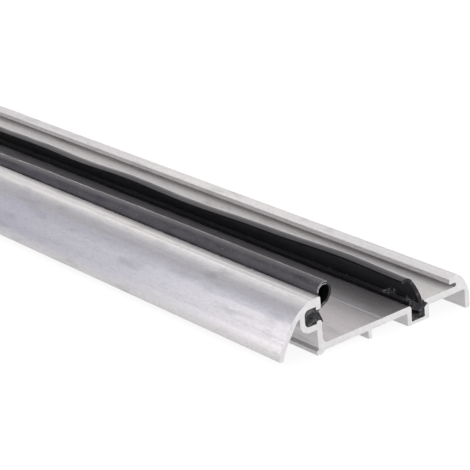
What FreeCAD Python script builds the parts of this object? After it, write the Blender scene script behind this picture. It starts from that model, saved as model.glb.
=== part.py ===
"""Door threshold sill: one aluminium extrusion with two rubber seals slid into it.

The cross-section is drawn with the deck level. u runs from the outside of the
building to the inside and is zero at the outer face of the upright. v runs up
and is zero at the top of the deck. The finished pieces are then tipped by the
fall of the deck, so that the sill stands on its feet with its length along X,
the inside of the building towards +Y, and the origin under the middle.
Lengths are in millimetres and angles in degrees.
"""

import FreeCAD, Part
import collections
import math
import os
import types

import Sketcher

SIZES = (
    # The whole sill
    ("sill_length", 914.0, "length of the sill"),
    ("sill_depth", 57.4, "outer face of the upright to the far face of the inner leg"),
    ("deck_slope_angle", 5.2, "slope of the deck down to the outside"),
    # Deck, rib and drilling line
    ("deck_wall", 2.0, "thickness of the deck"),
    ("deck_fillet", 2.0, "rounding between the deck and the upright"),
    ("web_fillet", 0.4, "rounding in the corners under the deck"),
    ("rib_place", 18.85, "middle of the rib under the deck"),
    ("rib_wall", 1.2, "thickness of the rib"),
    ("drill_line_place", 23.7, "middle of the drilling line in the deck"),
    ("drill_line_width", 1.5, "width of the drilling line"),
    ("drill_line_depth", 0.4, "depth of the drilling line"),
    # Upright, its foot and its two lips
    ("upright_wall", 1.85, "thickness of the upright"),
    ("foot_overhang", 0.5, "how far the foot of the upright spreads to the outside"),
    ("foot_rise", 1.9, "height of the foot of the upright above the floor"),
    ("foot_width", 1.8, "width of the foot of the upright on the floor"),
    ("foot_spread", 0.5, "how far the foot spreads to the inside, under the deck"),
    ("lip_wall", 1.73, "thickness of the two lips of the seal pocket"),
    ("lip_fillet", 0.75, "rounding on the lower lip, towards the door"),
    ("lip_back_fillet", 0.5, "rounding on the lower lip, towards the pocket"),
    ("lip_edge_fillet", 0.35, "rounding on the upper lip"),
    # Seal pocket in the upright
    ("pocket_floor", 6.5, "floor of the seal pocket above the deck"),
    ("pocket_width", 4.07, "width of the seal pocket"),
    ("pocket_height", 5.0, "height of the seal pocket"),
    ("pocket_radius", 1.5, "rounding in the outer corners of the seal pocket"),
    ("pocket_corner_radius", 0.2, "rounding in the inner corners of the seal pocket"),
    ("pocket_wall", 1.8, "wall around the seal pocket"),
    ("low_lip_rise", 0.75, "height of the lower lip above the pocket floor"),
    ("mouth_height", 3.2, "gap between the two lips"),
    # Outer nose
    ("nose_reach", 13.8, "outer face of the upright to the end of the toe"),
    ("nose_wall", 1.6, "wall of the nose"),
    ("toe_drop", 0.15, "outer corner of the toe below the top of the deck"),
    ("toe_angle", 80.0, "slope of the toe, from the level of the deck"),
    ("toe_radius", 12.0, "bend between the toe and the sloping face"),
    ("toe_fillet", 0.45, "rounding on the end of the toe"),
    ("face_angle", 56.0, "slope of the nose face, from the level of the deck"),
    ("shoulder_radius", 13.25, "bend between the sloping face and the top"),
    ("shoulder_top", 13.95, "top of the shoulder above the deck"),
    ("shoulder_angle", 16.5, "slope at the top of the shoulder"),
    ("crotch_fillet", 0.5, "rounding between the nose and the pocket wall, inside"),
    ("land_height", 14.1, "outer edge of the land above the deck"),
    ("land_start", 0.3, "outer edge of the land, outside the upright"),
    ("land_drop", 0.5, "fall of the land to its inner edge"),
    ("land_groove_radius", 1.35, "bend of the groove beside the land"),
    ("land_fillet", 0.6, "rounding on the inner edge of the land"),
    # Seal slot in the deck
    ("slot_place", 34.7, "outer wall of the seal slot"),
    ("slot_width", 5.0, "width of the seal slot"),
    ("slot_depth", 5.0, "depth of the seal slot below the deck"),
    ("slot_wall", 1.7, "thickness of the legs of the seal slot"),
    ("slot_floor", 0.9, "thickness of the floor of the seal slot"),
    ("slot_foot", 0.1, "how far the outer leg stands below the slot floor"),
    ("slot_fillet", 1.0, "rounding on the outer edge of the seal slot"),
    ("recess_drop", 0.45, "top of the barb recess below the deck"),
    ("recess_height", 1.8, "height of the barb recess"),
    ("recess_depth", 1.4, "depth of the barb recess"),
    # Inner nose
    ("leg_wall", 1.8, "thickness of the inner leg"),
    ("inner_nose_top", 3.47, "top of the inner nose above the deck"),
    ("crown_radius", 5.2, "upper bend of the inner nose"),
    ("crown_angle", 68.0, "where the upper bend ends at the flat of the lip, above level"),
    ("crown_fillet", 0.8, "rounding between the upper bend and the flat of the lip"),
    ("flank_radius", 12.0, "lower bend of the inner nose"),
    ("flank_angle", 36.0, "where the two bends meet, above level"),
    ("inner_lip_top", 3.15, "top of the lip of the inner nose above the deck"),
    ("inner_lip_reach", 7.75, "far face of the inner leg to the end of the lip"),
    ("lip_groove", 1.25, "height of the groove under the lip"),
    ("lip_groove_reach", 1.5, "straight part of that groove"),
    # Bubble seal
    ("seal_clearance", 0.1, "gap between a seal and the metal around it"),
    ("bubble_gap", 0.34, "gap between the bubble and the upper lip"),
    ("bubble_radius", 2.53, "outside radius of the bubble"),
    ("bubble_wall", 0.85, "wall of the bubble"),
    ("bubble_stand", 2.9, "height of the bubble above the nose"),
    ("belly_radius", 4.4, "bend of the lower part of the bubble"),
    ("belly_shift", 0.2, "end of that bend, inside the middle of the bubble"),
    ("neck_wall", 1.35, "thickness of the neck that carries the bubble"),
    ("bubble_setback", 1.6, "how far the bubble is trimmed back at the near end"),
    ("hook_wall", 0.3, "thickness of the hook over the lower lip"),
    ("hook_drop", 0.9, "length of the hook below the top of the lower lip"),
    ("slit_length", 2.6, "length of the slit in the stem of the bubble seal"),
    ("slit_height", 0.5, "height of the slit in the stem of the bubble seal"),
    # Flap seal
    ("flange_reach", 1.0, "how far the flange covers the outer leg of the slot"),
    ("flange_edge", 0.25, "thickness of the flange at its edge"),
    ("ridge_height", 0.95, "height of the ridge of the flange above the deck"),
    ("ridge_width", 1.5, "width of the flat top of the ridge"),
    ("ridge_overlap", 0.2, "how far the ridge covers the outer leg of the slot"),
    ("plug_depth", 1.2, "depth of the plug at the outer wall of the slot"),
    ("plug_slope", 1.2, "how much deeper the plug is at the stem"),
    ("stem_wall", 1.6, "thickness of the stem"),
    ("stem_relief", 0.4, "gap between the stem and the inner wall of the slot"),
    ("barb_height", 1.35, "height of the bottom barb at the stem"),
    ("barb_cut", 0.7, "slope on the corners of the bottom barb"),
    ("blade_inset", 0.7, "root of the blade, outside the inner wall of the slot"),
    ("root_wall", 1.35, "thickness of the blade at its root"),
    ("blade_wall", 0.95, "thickness of the blade at the crest"),
    ("tip_wall", 0.6, "thickness of the blade at its tip"),
    ("blade_root_angle", 106.0, "heading of the blade at its root"),
    ("blade_crest_angle", 129.0, "heading of the blade where the crest starts"),
    ("blade_tip_angle", 200.0, "heading of the blade at its tip"),
    ("side_radius", 21.0, "outside bend of the side of the blade"),
    ("crest_radius", 3.0, "outside bend of the crest of the blade"),
    ("tip_length", 0.5, "straight part of the blade at its tip"),
)

SHEET_NAME = "Sizes"
FREE_SPACE = 1.0
EDGE_TOLERANCE = 0.001
LEFT = 1
RIGHT = -1

Bow = collections.namedtuple("Bow", "radius side")
Spot = collections.namedtuple("Spot", "u v")


class Size:
    """A number that keeps the formula that gives it from the sheet."""

    def __init__(self, value, formula=None):
        self.value = float(value)
        self.formula = formula if formula else repr(float(value))

    def _joined(self, other, sign, value):
        return Size(value, f"({self.formula} {sign} {other.formula})")

    def __add__(self, other):
        other = sized(other)
        return self._joined(other, "+", self.value + other.value)

    def __radd__(self, other):
        return sized(other) + self

    def __sub__(self, other):
        other = sized(other)
        return self._joined(other, "-", self.value - other.value)

    def __rsub__(self, other):
        return sized(other) - self

    def __mul__(self, other):
        other = sized(other)
        return self._joined(other, "*", self.value * other.value)

    def __rmul__(self, other):
        return sized(other) * self

    def __truediv__(self, other):
        other = sized(other)
        return self._joined(other, "/", self.value / other.value)

    def __neg__(self):
        return Size(-self.value, f"(-{self.formula})")


def sized(number):
    """Return the number as a Size."""
    return number if isinstance(number, Size) else Size(number)


def sine(angle):
    """Return the sine of an angle in degrees."""
    return Size(math.sin(math.radians(angle.value)), f"sin({angle.formula})")


def cosine(angle):
    """Return the cosine of an angle in degrees."""
    return Size(math.cos(math.radians(angle.value)), f"cos({angle.formula})")


def root(number):
    """Return the square root of a Size."""
    return Size(math.sqrt(number.value), f"sqrt({number.formula})")


def polar(centre, radius, angle):
    """Return the spot at a radius and an angle from a centre."""
    return Spot(centre.u + radius * cosine(angle), centre.v + radius * sine(angle))


def shifted(corner, du, dv):
    """Return the spot beside another one."""
    return Spot(sized(corner.u) + du, sized(corner.v) + dv)


def write_sheet(doc):
    """Write the sizes to the sheet and return them by name."""
    sheet = doc.addObject("Spreadsheet::Sheet", SHEET_NAME)
    sizes = {}
    for row, (alias, value, note) in enumerate(SIZES, start=1):
        sheet.set(f"A{row}", note)
        sheet.set(f"B{row}", str(value))
        sheet.setAlias(f"B{row}", alias)
        sizes[alias] = Size(value, f"{SHEET_NAME}.{alias}")
    doc.recompute()
    return types.SimpleNamespace(**sizes)


def make_body(doc, label):
    """Start a body whose label is the name of the piece."""
    body = doc.addObject("PartDesign::Body", label)
    body.Label = label
    return body


def add_edge(sketch, start, end, bow):
    """Add one edge and return its number with its start and end point numbers."""
    first = FreeCAD.Vector(start.u.value, start.v.value, 0)
    last = FreeCAD.Vector(end.u.value, end.v.value, 0)
    if bow is None:
        return sketch.addGeometry(Part.LineSegment(first, last), False), 1, 2
    chord = last - first
    across = FreeCAD.Vector(-chord.y, chord.x, 0).normalize()
    depth = math.sqrt(bow.radius.value ** 2 - (chord.Length / 2) ** 2)
    centre = first + chord * 0.5 + across * (depth * bow.side)
    begin, finish = (first, last) if bow.side == LEFT else (last, first)
    circle = Part.Circle(centre, FreeCAD.Vector(0, 0, 1), bow.radius.value)
    arc = Part.ArcOfCircle(circle, circle.parameter(begin), circle.parameter(finish))
    number = sketch.addGeometry(arc, False)
    return (number, 1, 2) if bow.side == LEFT else (number, 2, 1)


def bind(sketch, constraint, name, size):
    """Add a constraint that takes its value from the sheet."""
    index = sketch.addConstraint(constraint)
    sketch.renameConstraint(index, name)
    sketch.setExpression(f"Constraints.{name}", size.formula)


def draw_section(body, name, corners):
    """Draw a closed outline across the length, from corners in counterclockwise order.

    A corner is a spot, or a spot with the bow of the edge that leaves it.
    """
    spots = []
    bows = []
    for corner in corners:
        plain = len(corner) == 2 and not isinstance(corner[1], Bow)
        spot = corner if plain else corner[0]
        spots.append(Spot(sized(spot[0]), sized(spot[1])))
        bows.append(None if plain else corner[1])
    sketch = body.newObject("Sketcher::SketchObject", name)
    plane = next(item for item in body.Origin.OriginFeatures if item.Role == "YZ_Plane")
    sketch.AttachmentSupport = [(plane, "")]
    sketch.MapMode = "FlatFace"
    edges = []
    for index, spot in enumerate(spots):
        edges.append(add_edge(sketch, spot, spots[(index + 1) % len(spots)], bows[index]))
    for index, (number, begin, _) in enumerate(edges):
        before, _, finish = edges[index - 1]
        sketch.addConstraint(Sketcher.Constraint("Coincident", before, finish, number, begin))
        for kind, size in (("DistanceX", spots[index].u), ("DistanceY", spots[index].v)):
            place = Sketcher.Constraint(kind, -1, 1, number, begin, size.value)
            bind(sketch, place, f"corner_{index}_{kind[-1].lower()}", size)
        if bows[index]:
            radius = bows[index].radius
            bend = Sketcher.Constraint("Radius", number, radius.value)
            bind(sketch, bend, f"bend_{index}", radius)
    return sketch


def extrude(body, name, corners, length, far_length=None):
    """Add the outline to the body along its length, evenly unless far_length is given."""
    pad = body.newObject("PartDesign::Pad", f"{name}_length")
    pad.Profile = draw_section(body, name, corners)
    if far_length is None:
        pad.SideType = "Symmetric"
    else:
        pad.SideType = "Two sides"
        pad.setExpression("Length2", far_length.formula)
    pad.setExpression("Length", length.formula)
    return pad


def cut(body, name, corners, length):
    """Cut the outline out of the body over its length and a little past both ends."""
    pocket = body.newObject("PartDesign::Pocket", f"{name}_cut")
    pocket.Profile = draw_section(body, name, corners)
    pocket.SideType = "Symmetric"
    pocket.setExpression("Length", (length + 2 * FREE_SPACE).formula)
    return pocket


def round_edges(body, name, radius, spots):
    """Round the edges that run along the length through the given spots."""
    body.Document.recompute()
    base = body.Tip
    names = []
    for spot in spots:
        u, v = sized(spot[0]).value, sized(spot[1]).value
        found = [
            f"Edge{index}"
            for index, edge in enumerate(base.Shape.Edges, start=1)
            if all(math.hypot(vertex.Y - u, vertex.Z - v) < EDGE_TOLERANCE
                   for vertex in edge.Vertexes)
        ]
        if not found:
            raise ValueError(f"{name}: no edge at u {u:.3f}, v {v:.3f}")
        names += found
    fillet = body.newObject("PartDesign::Fillet", name)
    fillet.Base = (base, names)
    fillet.setExpression("Radius", radius.formula)
    return fillet


def rounded_box(low, high, outer, inner):
    """Return the corners of a box rounded by outer at low u and by inner at high u."""
    return [
        Spot(low.u + outer, low.v),
        (Spot(high.u - inner, low.v), Bow(inner, LEFT)),
        Spot(high.u, low.v + inner),
        (Spot(high.u, high.v - inner), Bow(inner, LEFT)),
        Spot(high.u - inner, high.v),
        (Spot(low.u + outer, high.v), Bow(outer, LEFT)),
        Spot(low.u, high.v - outer),
        (Spot(low.u, low.v + outer), Bow(outer, LEFT)),
    ]


class Layout:
    """Places that more than one outline needs, all worked out from the sheet."""

    def __init__(self, s):
        self.s = s
        self.length = s.sill_length
        self.fall_ratio = sine(s.deck_slope_angle) / cosine(s.deck_slope_angle)
        self.slot_right = s.slot_place + s.slot_width
        self.leg_outer = s.sill_depth
        self.leg_inner = s.sill_depth - s.leg_wall
        self.pocket_right = s.upright_wall - s.lip_wall
        self.pocket_left = self.pocket_right - s.pocket_width
        self.pocket_roof = s.pocket_floor + s.pocket_height
        self.mouth_low = s.pocket_floor + s.low_lip_rise
        self.mouth_high = self.mouth_low + s.mouth_height
        self.toe_normal = s.toe_angle + 90
        self.face_normal = s.face_angle + 90
        self.shoulder_normal = s.shoulder_angle + 90
        self.toe_end = Spot(-s.nose_reach, -s.toe_drop)
        self.toe_centre = polar(self.toe_end, -s.toe_radius, self.toe_normal)
        self.face_low = polar(self.toe_centre, s.toe_radius, self.face_normal)
        shoulder_v = s.shoulder_top - s.shoulder_radius * sine(self.shoulder_normal)
        face_rise = shoulder_v + s.shoulder_radius * cosine(s.face_angle) - self.face_low.v
        face_run = face_rise * cosine(s.face_angle) / sine(s.face_angle)
        shoulder_u = self.face_low.u + face_run + s.shoulder_radius * sine(s.face_angle)
        self.shoulder_centre = Spot(shoulder_u, shoulder_v)
        self.block_left = self.pocket_left - s.pocket_wall
        self.crown_centre = Spot(
            s.sill_depth - s.flank_radius + (s.flank_radius - s.crown_radius) * cosine(s.flank_angle),
            s.inner_nose_top - s.crown_radius * sine(s.crown_angle),
        )
        self.flank_v = self.crown_centre.v - (s.flank_radius - s.crown_radius) * sine(s.flank_angle)
        self.inner_lip_radius = (s.inner_lip_top - s.lip_groove) / 2
        self.inner_lip_u = s.sill_depth - s.inner_lip_reach + self.inner_lip_radius
        self.groove_end = self.inner_lip_u + s.lip_groove_reach
        self.stand = s.slot_depth + s.slot_floor + s.slot_foot

    def floor(self, u):
        """Return the level of the floor line at u, on which every foot ends."""
        return (self.s.slot_place - u) * self.fall_ratio - self.stand

    def on_floor(self, u):
        """Return the spot on the floor line at u."""
        return Spot(u, self.floor(u))


def nose_section(s, place):
    """Return the wall of the outer nose, from the toe over the shoulder."""
    toe = place.toe_centre
    shoulder = place.shoulder_centre
    inner_toe = s.toe_radius - s.nose_wall
    inner_shoulder = s.shoulder_radius - s.nose_wall
    return [
        place.toe_end,
        (polar(toe, inner_toe, place.toe_normal), Bow(inner_toe, RIGHT)),
        polar(toe, inner_toe, place.face_normal),
        (polar(shoulder, inner_shoulder, place.face_normal), Bow(inner_shoulder, RIGHT)),
        polar(shoulder, inner_shoulder, place.shoulder_normal),
        (polar(shoulder, s.shoulder_radius, place.shoulder_normal), Bow(s.shoulder_radius, LEFT)),
        polar(shoulder, s.shoulder_radius, place.face_normal),
        (place.face_low, Bow(s.toe_radius, LEFT)),
    ]


def height_on_shoulder(s, place, radius, u):
    """Return the height at u of the arc with this radius about the shoulder's centre."""
    run = u - place.shoulder_centre.u
    return place.shoulder_centre.v + root(radius * radius - run * run)


def pocket_block_section(s, place):
    """Return the block around the seal pocket, with the land of the nose on its top."""
    left = place.block_left
    base = s.pocket_floor - s.pocket_wall
    corner = s.pocket_radius + s.pocket_wall
    shoulder = place.shoulder_centre
    middle = s.shoulder_radius - s.nose_wall / 2
    return [
        Spot(left + corner, base),
        Spot(s.upright_wall, base),
        Spot(s.upright_wall, s.land_height - s.land_drop),
        (Spot(-s.land_start, s.land_height), Bow(s.land_groove_radius, RIGHT)),
        polar(shoulder, s.shoulder_radius, place.shoulder_normal),
        (polar(shoulder, middle, place.shoulder_normal), Bow(middle, LEFT)),
        Spot(left, height_on_shoulder(s, place, middle, left)),
        (Spot(left, base + corner), Bow(corner, LEFT)),
    ]


def foot_section(s, place):
    """Return the flared foot under the upright."""
    return [
        place.on_floor(-s.foot_overhang),
        place.on_floor(s.foot_width - s.foot_overhang),
        Spot(s.upright_wall + s.foot_spread, -s.deck_wall),
        Spot(s.upright_wall, -s.deck_wall / 2),
        Spot(0, place.floor(sized(0)) + s.foot_rise),
    ]


def inner_nose_section(s, place):
    """Return the inner nose: its leg, its two outer bends and the lip with its groove."""
    crown = place.crown_centre
    lip_u = place.inner_lip_u
    tip = place.inner_lip_radius
    half = s.lip_groove / 2
    return [
        place.on_floor(place.leg_inner),
        place.on_floor(place.leg_outer),
        (Spot(place.leg_outer, place.flank_v), Bow(s.flank_radius, LEFT)),
        (polar(crown, s.crown_radius, s.flank_angle), Bow(s.crown_radius, LEFT)),
        polar(crown, s.crown_radius, s.crown_angle),
        (Spot(lip_u, s.inner_lip_top), Bow(tip, LEFT)),
        (Spot(lip_u - tip, s.inner_lip_top - tip), Bow(tip, LEFT)),
        Spot(lip_u, s.lip_groove),
        (Spot(place.groove_end, s.lip_groove), Bow(half, RIGHT)),
        (Spot(place.groove_end + half, half), Bow(half, RIGHT)),
        Spot(place.groove_end, 0),
        Spot(place.groove_end, -s.deck_wall / 2),
        Spot(place.leg_inner, -s.deck_wall / 2),
    ]


def channel_section(s, place):
    """Return the legs and floor of the seal slot as one block, before the slot is cut."""
    underside = -(s.slot_depth + s.slot_floor)
    left = s.slot_place - s.slot_wall
    right = place.slot_right + s.slot_wall
    return [
        place.on_floor(left),
        place.on_floor(s.slot_place),
        Spot(s.slot_place, underside),
        Spot(right, underside),
        Spot(right, -s.deck_wall / 2),
        Spot(left, -s.deck_wall / 2),
    ]


def build_sill(doc, s, place):
    """Model the aluminium extrusion."""
    body = make_body(doc, "sill_extrusion")
    length = place.length
    rib_left = s.rib_place - s.rib_wall / 2
    rib_right = s.rib_place + s.rib_wall / 2
    slot_left_face = s.slot_place - s.slot_wall
    deck_right = place.leg_inner + s.leg_wall / 2

    extrude(body, "deck", [
        Spot(0, -s.deck_wall),
        Spot(deck_right, -s.deck_wall),
        Spot(deck_right, -s.deck_wall / 2),
        Spot(place.groove_end, -s.deck_wall / 2),
        Spot(place.groove_end, 0),
        Spot(0, 0),
    ], length)
    extrude(body, "upright", [
        Spot(0, -s.deck_wall),
        Spot(s.upright_wall, -s.deck_wall),
        Spot(s.upright_wall, place.mouth_low),
        Spot(0, place.mouth_low),
    ], length)
    extrude(body, "foot", foot_section(s, place), length)
    extrude(body, "rib", [
        place.on_floor(rib_left),
        place.on_floor(rib_right),
        Spot(rib_right, -s.deck_wall / 2),
        Spot(rib_left, -s.deck_wall / 2),
    ], length)
    extrude(body, "channel", channel_section(s, place), length)
    extrude(body, "inner_nose", inner_nose_section(s, place), length)
    extrude(body, "pocket_block", pocket_block_section(s, place), length)
    extrude(body, "nose", nose_section(s, place), length)

    cut(body, "seal_pocket", rounded_box(
        Spot(place.pocket_left, s.pocket_floor), Spot(place.pocket_right, place.pocket_roof),
        s.pocket_radius, s.pocket_corner_radius), length)
    cut(body, "mouth", [
        Spot(place.pocket_right - s.pocket_radius, place.mouth_low),
        Spot(s.upright_wall + FREE_SPACE, place.mouth_low),
        Spot(s.upright_wall + FREE_SPACE, place.mouth_high),
        Spot(place.pocket_right - s.pocket_radius, place.mouth_high),
    ], length)
    cut(body, "seal_slot", [
        Spot(s.slot_place, -s.slot_depth),
        Spot(place.slot_right, -s.slot_depth),
        Spot(place.slot_right, FREE_SPACE),
        Spot(s.slot_place, FREE_SPACE),
    ], length)
    recess_base = -(s.recess_drop + s.recess_height)
    cut(body, "barb_recess", [
        Spot(place.slot_right - s.recess_depth, recess_base),
        Spot(place.slot_right, recess_base),
        Spot(place.slot_right + s.recess_depth, (recess_base - s.recess_drop) / 2),
        Spot(place.slot_right, -s.recess_drop),
        Spot(place.slot_right - s.recess_depth, -s.recess_drop),
    ], length)
    cut(body, "drill_line", [
        Spot(s.drill_line_place - s.drill_line_width / 2, 0),
        Spot(s.drill_line_place, -s.drill_line_depth),
        Spot(s.drill_line_place + s.drill_line_width / 2, 0),
        Spot(s.drill_line_place + s.drill_line_width / 2, FREE_SPACE),
        Spot(s.drill_line_place - s.drill_line_width / 2, FREE_SPACE),
    ], length)

    round_edges(body, "deck_bend_round", s.deck_fillet, [Spot(s.upright_wall, 0)])
    round_edges(body, "slot_edge_round", s.slot_fillet, [Spot(s.slot_place, 0)])
    round_edges(body, "land_edge_round", s.land_fillet, [
        Spot(s.upright_wall, s.land_height - s.land_drop),
    ])
    round_edges(body, "low_lip_round", s.lip_fillet, [Spot(s.upright_wall, place.mouth_low)])
    round_edges(body, "low_lip_back_round", s.lip_back_fillet, [
        Spot(place.pocket_right, place.mouth_low),
    ])
    round_edges(body, "high_lip_rounds", s.lip_edge_fillet, [
        Spot(place.pocket_right, place.mouth_high),
        Spot(s.upright_wall, place.mouth_high),
    ])
    round_edges(body, "toe_rounds", s.toe_fillet, [
        place.toe_end,
        polar(place.toe_centre, s.toe_radius - s.nose_wall, place.toe_normal),
    ])
    inner_shoulder = s.shoulder_radius - s.nose_wall
    crotch = height_on_shoulder(s, place, inner_shoulder, place.block_left)
    round_edges(body, "crotch_rounds", s.crotch_fillet, [Spot(place.block_left, crotch)])
    round_edges(body, "crown_round", s.crown_fillet, [
        polar(place.crown_centre, s.crown_radius, s.crown_angle),
    ])
    round_edges(body, "web_rounds", s.web_fillet, [
        Spot(rib_left, -s.deck_wall),
        Spot(rib_right, -s.deck_wall),
        Spot(slot_left_face, -s.deck_wall),
        Spot(place.slot_right + s.slot_wall, -s.deck_wall),
        Spot(place.leg_inner, -s.deck_wall),
    ])
    return body


def build_bubble_seal(doc, s, place):
    """Model the bubble seal: the stem in the pocket, the hook, the neck and the bubble."""
    body = make_body(doc, "bubble_seal")
    gap = s.seal_clearance
    half = place.length / 2
    stem_right = place.pocket_right - gap
    stem_top = place.mouth_high - gap
    hook_inner = s.upright_wall + gap
    hook_outer = hook_inner + s.hook_wall
    over_lip = place.mouth_low + gap
    lip_bend = s.lip_fillet + gap
    extrude(body, "stem", rounded_box(
        Spot(place.pocket_left + gap, s.pocket_floor + gap),
        Spot(stem_right, place.pocket_roof - gap),
        s.pocket_radius - gap, s.pocket_corner_radius), place.length)
    extrude(body, "hook", [
        Spot(stem_right - s.pocket_radius, over_lip),
        (Spot(hook_inner - lip_bend, over_lip), Bow(lip_bend, RIGHT)),
        Spot(hook_inner, over_lip - lip_bend),
        Spot(hook_inner, place.mouth_low - s.hook_drop),
        Spot(hook_outer, place.mouth_low - s.hook_drop),
        Spot(hook_outer, place.mouth_low - s.hook_drop / 2),
        Spot(stem_right + s.neck_wall, stem_top - s.neck_wall),
        Spot(stem_right + s.neck_wall / 2, stem_top),
        Spot(stem_right - s.pocket_radius, stem_top),
    ], place.length)

    radius = s.bubble_radius
    middle = Spot(s.upright_wall + s.bubble_gap + radius, s.land_height + s.bubble_stand - radius)
    belly = Spot(middle.u + s.belly_shift, place.mouth_high)
    neck_low = stem_top - s.neck_wall
    extrude(body, "bubble", [
        Spot(stem_right, neck_low),
        Spot(s.upright_wall, neck_low),
        (belly, Bow(s.belly_radius, LEFT)),
        (Spot(middle.u + radius, middle.v), Bow(radius, LEFT)),
        (Spot(middle.u, middle.v + radius), Bow(radius, LEFT)),
        Spot(middle.u - radius, middle.v),
        Spot(middle.u - radius, place.mouth_high),
        Spot(s.upright_wall, stem_top),
        Spot(stem_right, stem_top),
    ], half - s.bubble_setback, half)
    inner = radius - s.bubble_wall
    cut(body, "bubble_hollow", [
        Spot(middle.u - inner, place.mouth_high),
        (shifted(belly, -s.belly_shift, s.bubble_wall), Bow(s.belly_radius - s.bubble_wall, LEFT)),
        (Spot(middle.u + inner, middle.v), Bow(inner, LEFT)),
        (Spot(middle.u, middle.v + inner), Bow(inner, LEFT)),
        Spot(middle.u - inner, middle.v),
    ], place.length)
    slit = Spot((place.pocket_left + stem_right) / 2, (place.mouth_low + place.mouth_high) / 2)
    cut(body, "stem_slit", [
        Spot(slit.u - s.slit_length / 2, slit.v),
        shifted(slit, 0, -s.slit_height / 2),
        Spot(slit.u + s.slit_length / 2, slit.v - s.slit_height / 2),
        shifted(slit, 0, s.slit_height / 2),
    ], place.length)
    return body


def build_flap_seal(doc, s, place):
    """Model the flap seal: the barbed stem in the slot, the flange and the blade."""
    body = make_body(doc, "flap_seal")
    gap = s.seal_clearance
    slot_left = s.slot_place + gap
    slot_right = place.slot_right - gap
    base = gap - s.slot_depth
    stem_right = place.slot_right - s.stem_relief
    stem_left = stem_right - s.stem_wall
    turn_normal = s.blade_crest_angle - 90
    droop_normal = s.blade_tip_angle - 90
    outer_root = Spot(place.slot_right - s.blade_inset, sized(0))
    side_centre = polar(outer_root, -s.side_radius, s.blade_root_angle - 90)
    inner_root = polar(outer_root, -s.root_wall, s.blade_root_angle - 90)
    extrude(body, "stem", [
        Spot(stem_left, base),
        Spot(stem_right, base),
        Spot(stem_right, -s.plug_depth),
        Spot(stem_left, -s.plug_depth),
    ], place.length)
    ridge = s.slot_place - s.ridge_overlap
    extrude(body, "plug", [
        Spot(slot_left, -s.plug_depth),
        Spot(stem_left, -(s.plug_depth + s.plug_slope)),
        Spot(stem_right, -(s.plug_depth + s.plug_slope)),
        Spot(stem_right, -s.recess_drop),
        outer_root,
        inner_root,
        Spot(ridge + s.ridge_width, s.ridge_height),
        Spot(ridge, s.ridge_height),
        Spot(s.slot_place - s.flange_reach, gap + s.flange_edge),
        Spot(s.slot_place - s.flange_reach, gap),
        Spot(slot_left, gap),
    ], place.length)
    barb_top = base + s.barb_height
    extrude(body, "bottom_barb", [
        Spot(slot_left + s.barb_cut, base),
        Spot(slot_right, base),
        Spot(slot_right, base + s.barb_cut),
        Spot(stem_right, barb_top),
        Spot(stem_left, barb_top),
        Spot(slot_left, barb_top + s.barb_cut),
        Spot(slot_left, base + s.barb_cut),
    ], place.length)
    recess_middle = s.recess_drop + s.recess_height / 2
    extrude(body, "top_barb", [
        Spot(stem_left, -(s.recess_drop + s.recess_height - 2 * gap)),
        Spot(slot_right, -(s.recess_drop + s.recess_height - 2 * gap)),
        Spot(place.slot_right + s.recess_depth - 3 * gap, -recess_middle),
        Spot(slot_right, -(s.recess_drop + 2 * gap)),
        Spot(stem_left, -(s.recess_drop + 2 * gap)),
    ], place.length)

    side_end = polar(side_centre, s.side_radius, turn_normal)
    crest_centre = polar(side_end, -s.crest_radius, turn_normal)
    crest_end = polar(crest_centre, s.crest_radius, droop_normal)
    tip = polar(crest_end, s.tip_length, s.blade_tip_angle)
    inner_side = s.side_radius - s.blade_wall
    inner_crest = s.crest_radius - s.blade_wall
    extrude(body, "blade", [
        (outer_root, Bow(s.side_radius, LEFT)),
        (side_end, Bow(s.crest_radius, LEFT)),
        crest_end,
        tip,
        polar(tip, -s.tip_wall, droop_normal),
        (polar(crest_centre, inner_crest, droop_normal), Bow(inner_crest, RIGHT)),
        (polar(side_centre, inner_side, turn_normal), Bow(inner_side, RIGHT)),
        inner_root,
        shifted(inner_root, 0, -s.plug_depth / 2),
        shifted(outer_root, 0, -s.recess_drop),
    ], place.length)
    return body


def stand_on_floor(body, s, place):
    """Tip the body by the fall of the deck and set it on the floor about the origin."""
    rise = place.stand * cosine(s.deck_slope_angle) - s.slot_place * sine(s.deck_slope_angle)
    toe = polar(polar(place.toe_end, s.toe_fillet, s.toe_angle), -s.toe_fillet, place.toe_normal)
    outside = toe.u * cosine(s.deck_slope_angle) - toe.v * sine(s.deck_slope_angle) - s.toe_fillet
    heel = place.on_floor(place.leg_outer)
    inside = heel.u * cosine(s.deck_slope_angle) - heel.v * sine(s.deck_slope_angle)
    body.Placement = FreeCAD.Placement(FreeCAD.Vector(), FreeCAD.Rotation(FreeCAD.Vector(1, 0, 0), 1))
    body.setExpression("Placement.Rotation.Angle", s.deck_slope_angle.formula)
    body.setExpression("Placement.Base.y", (-(outside + inside) / 2).formula)
    body.setExpression("Placement.Base.z", rise.formula)


def check(doc, bodies):
    """Stop if any object failed or any piece isn't one valid solid."""
    for item in doc.Objects:
        if {"Invalid", "Error"} & set(item.State):
            raise RuntimeError(f"{item.Label} failed: {item.State}")
    for body in bodies:
        shape = body.Shape
        if shape.isNull() or not shape.isValid() or len(shape.Solids) != 1:
            raise RuntimeError(f"{body.Label} isn't one valid solid")


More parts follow.
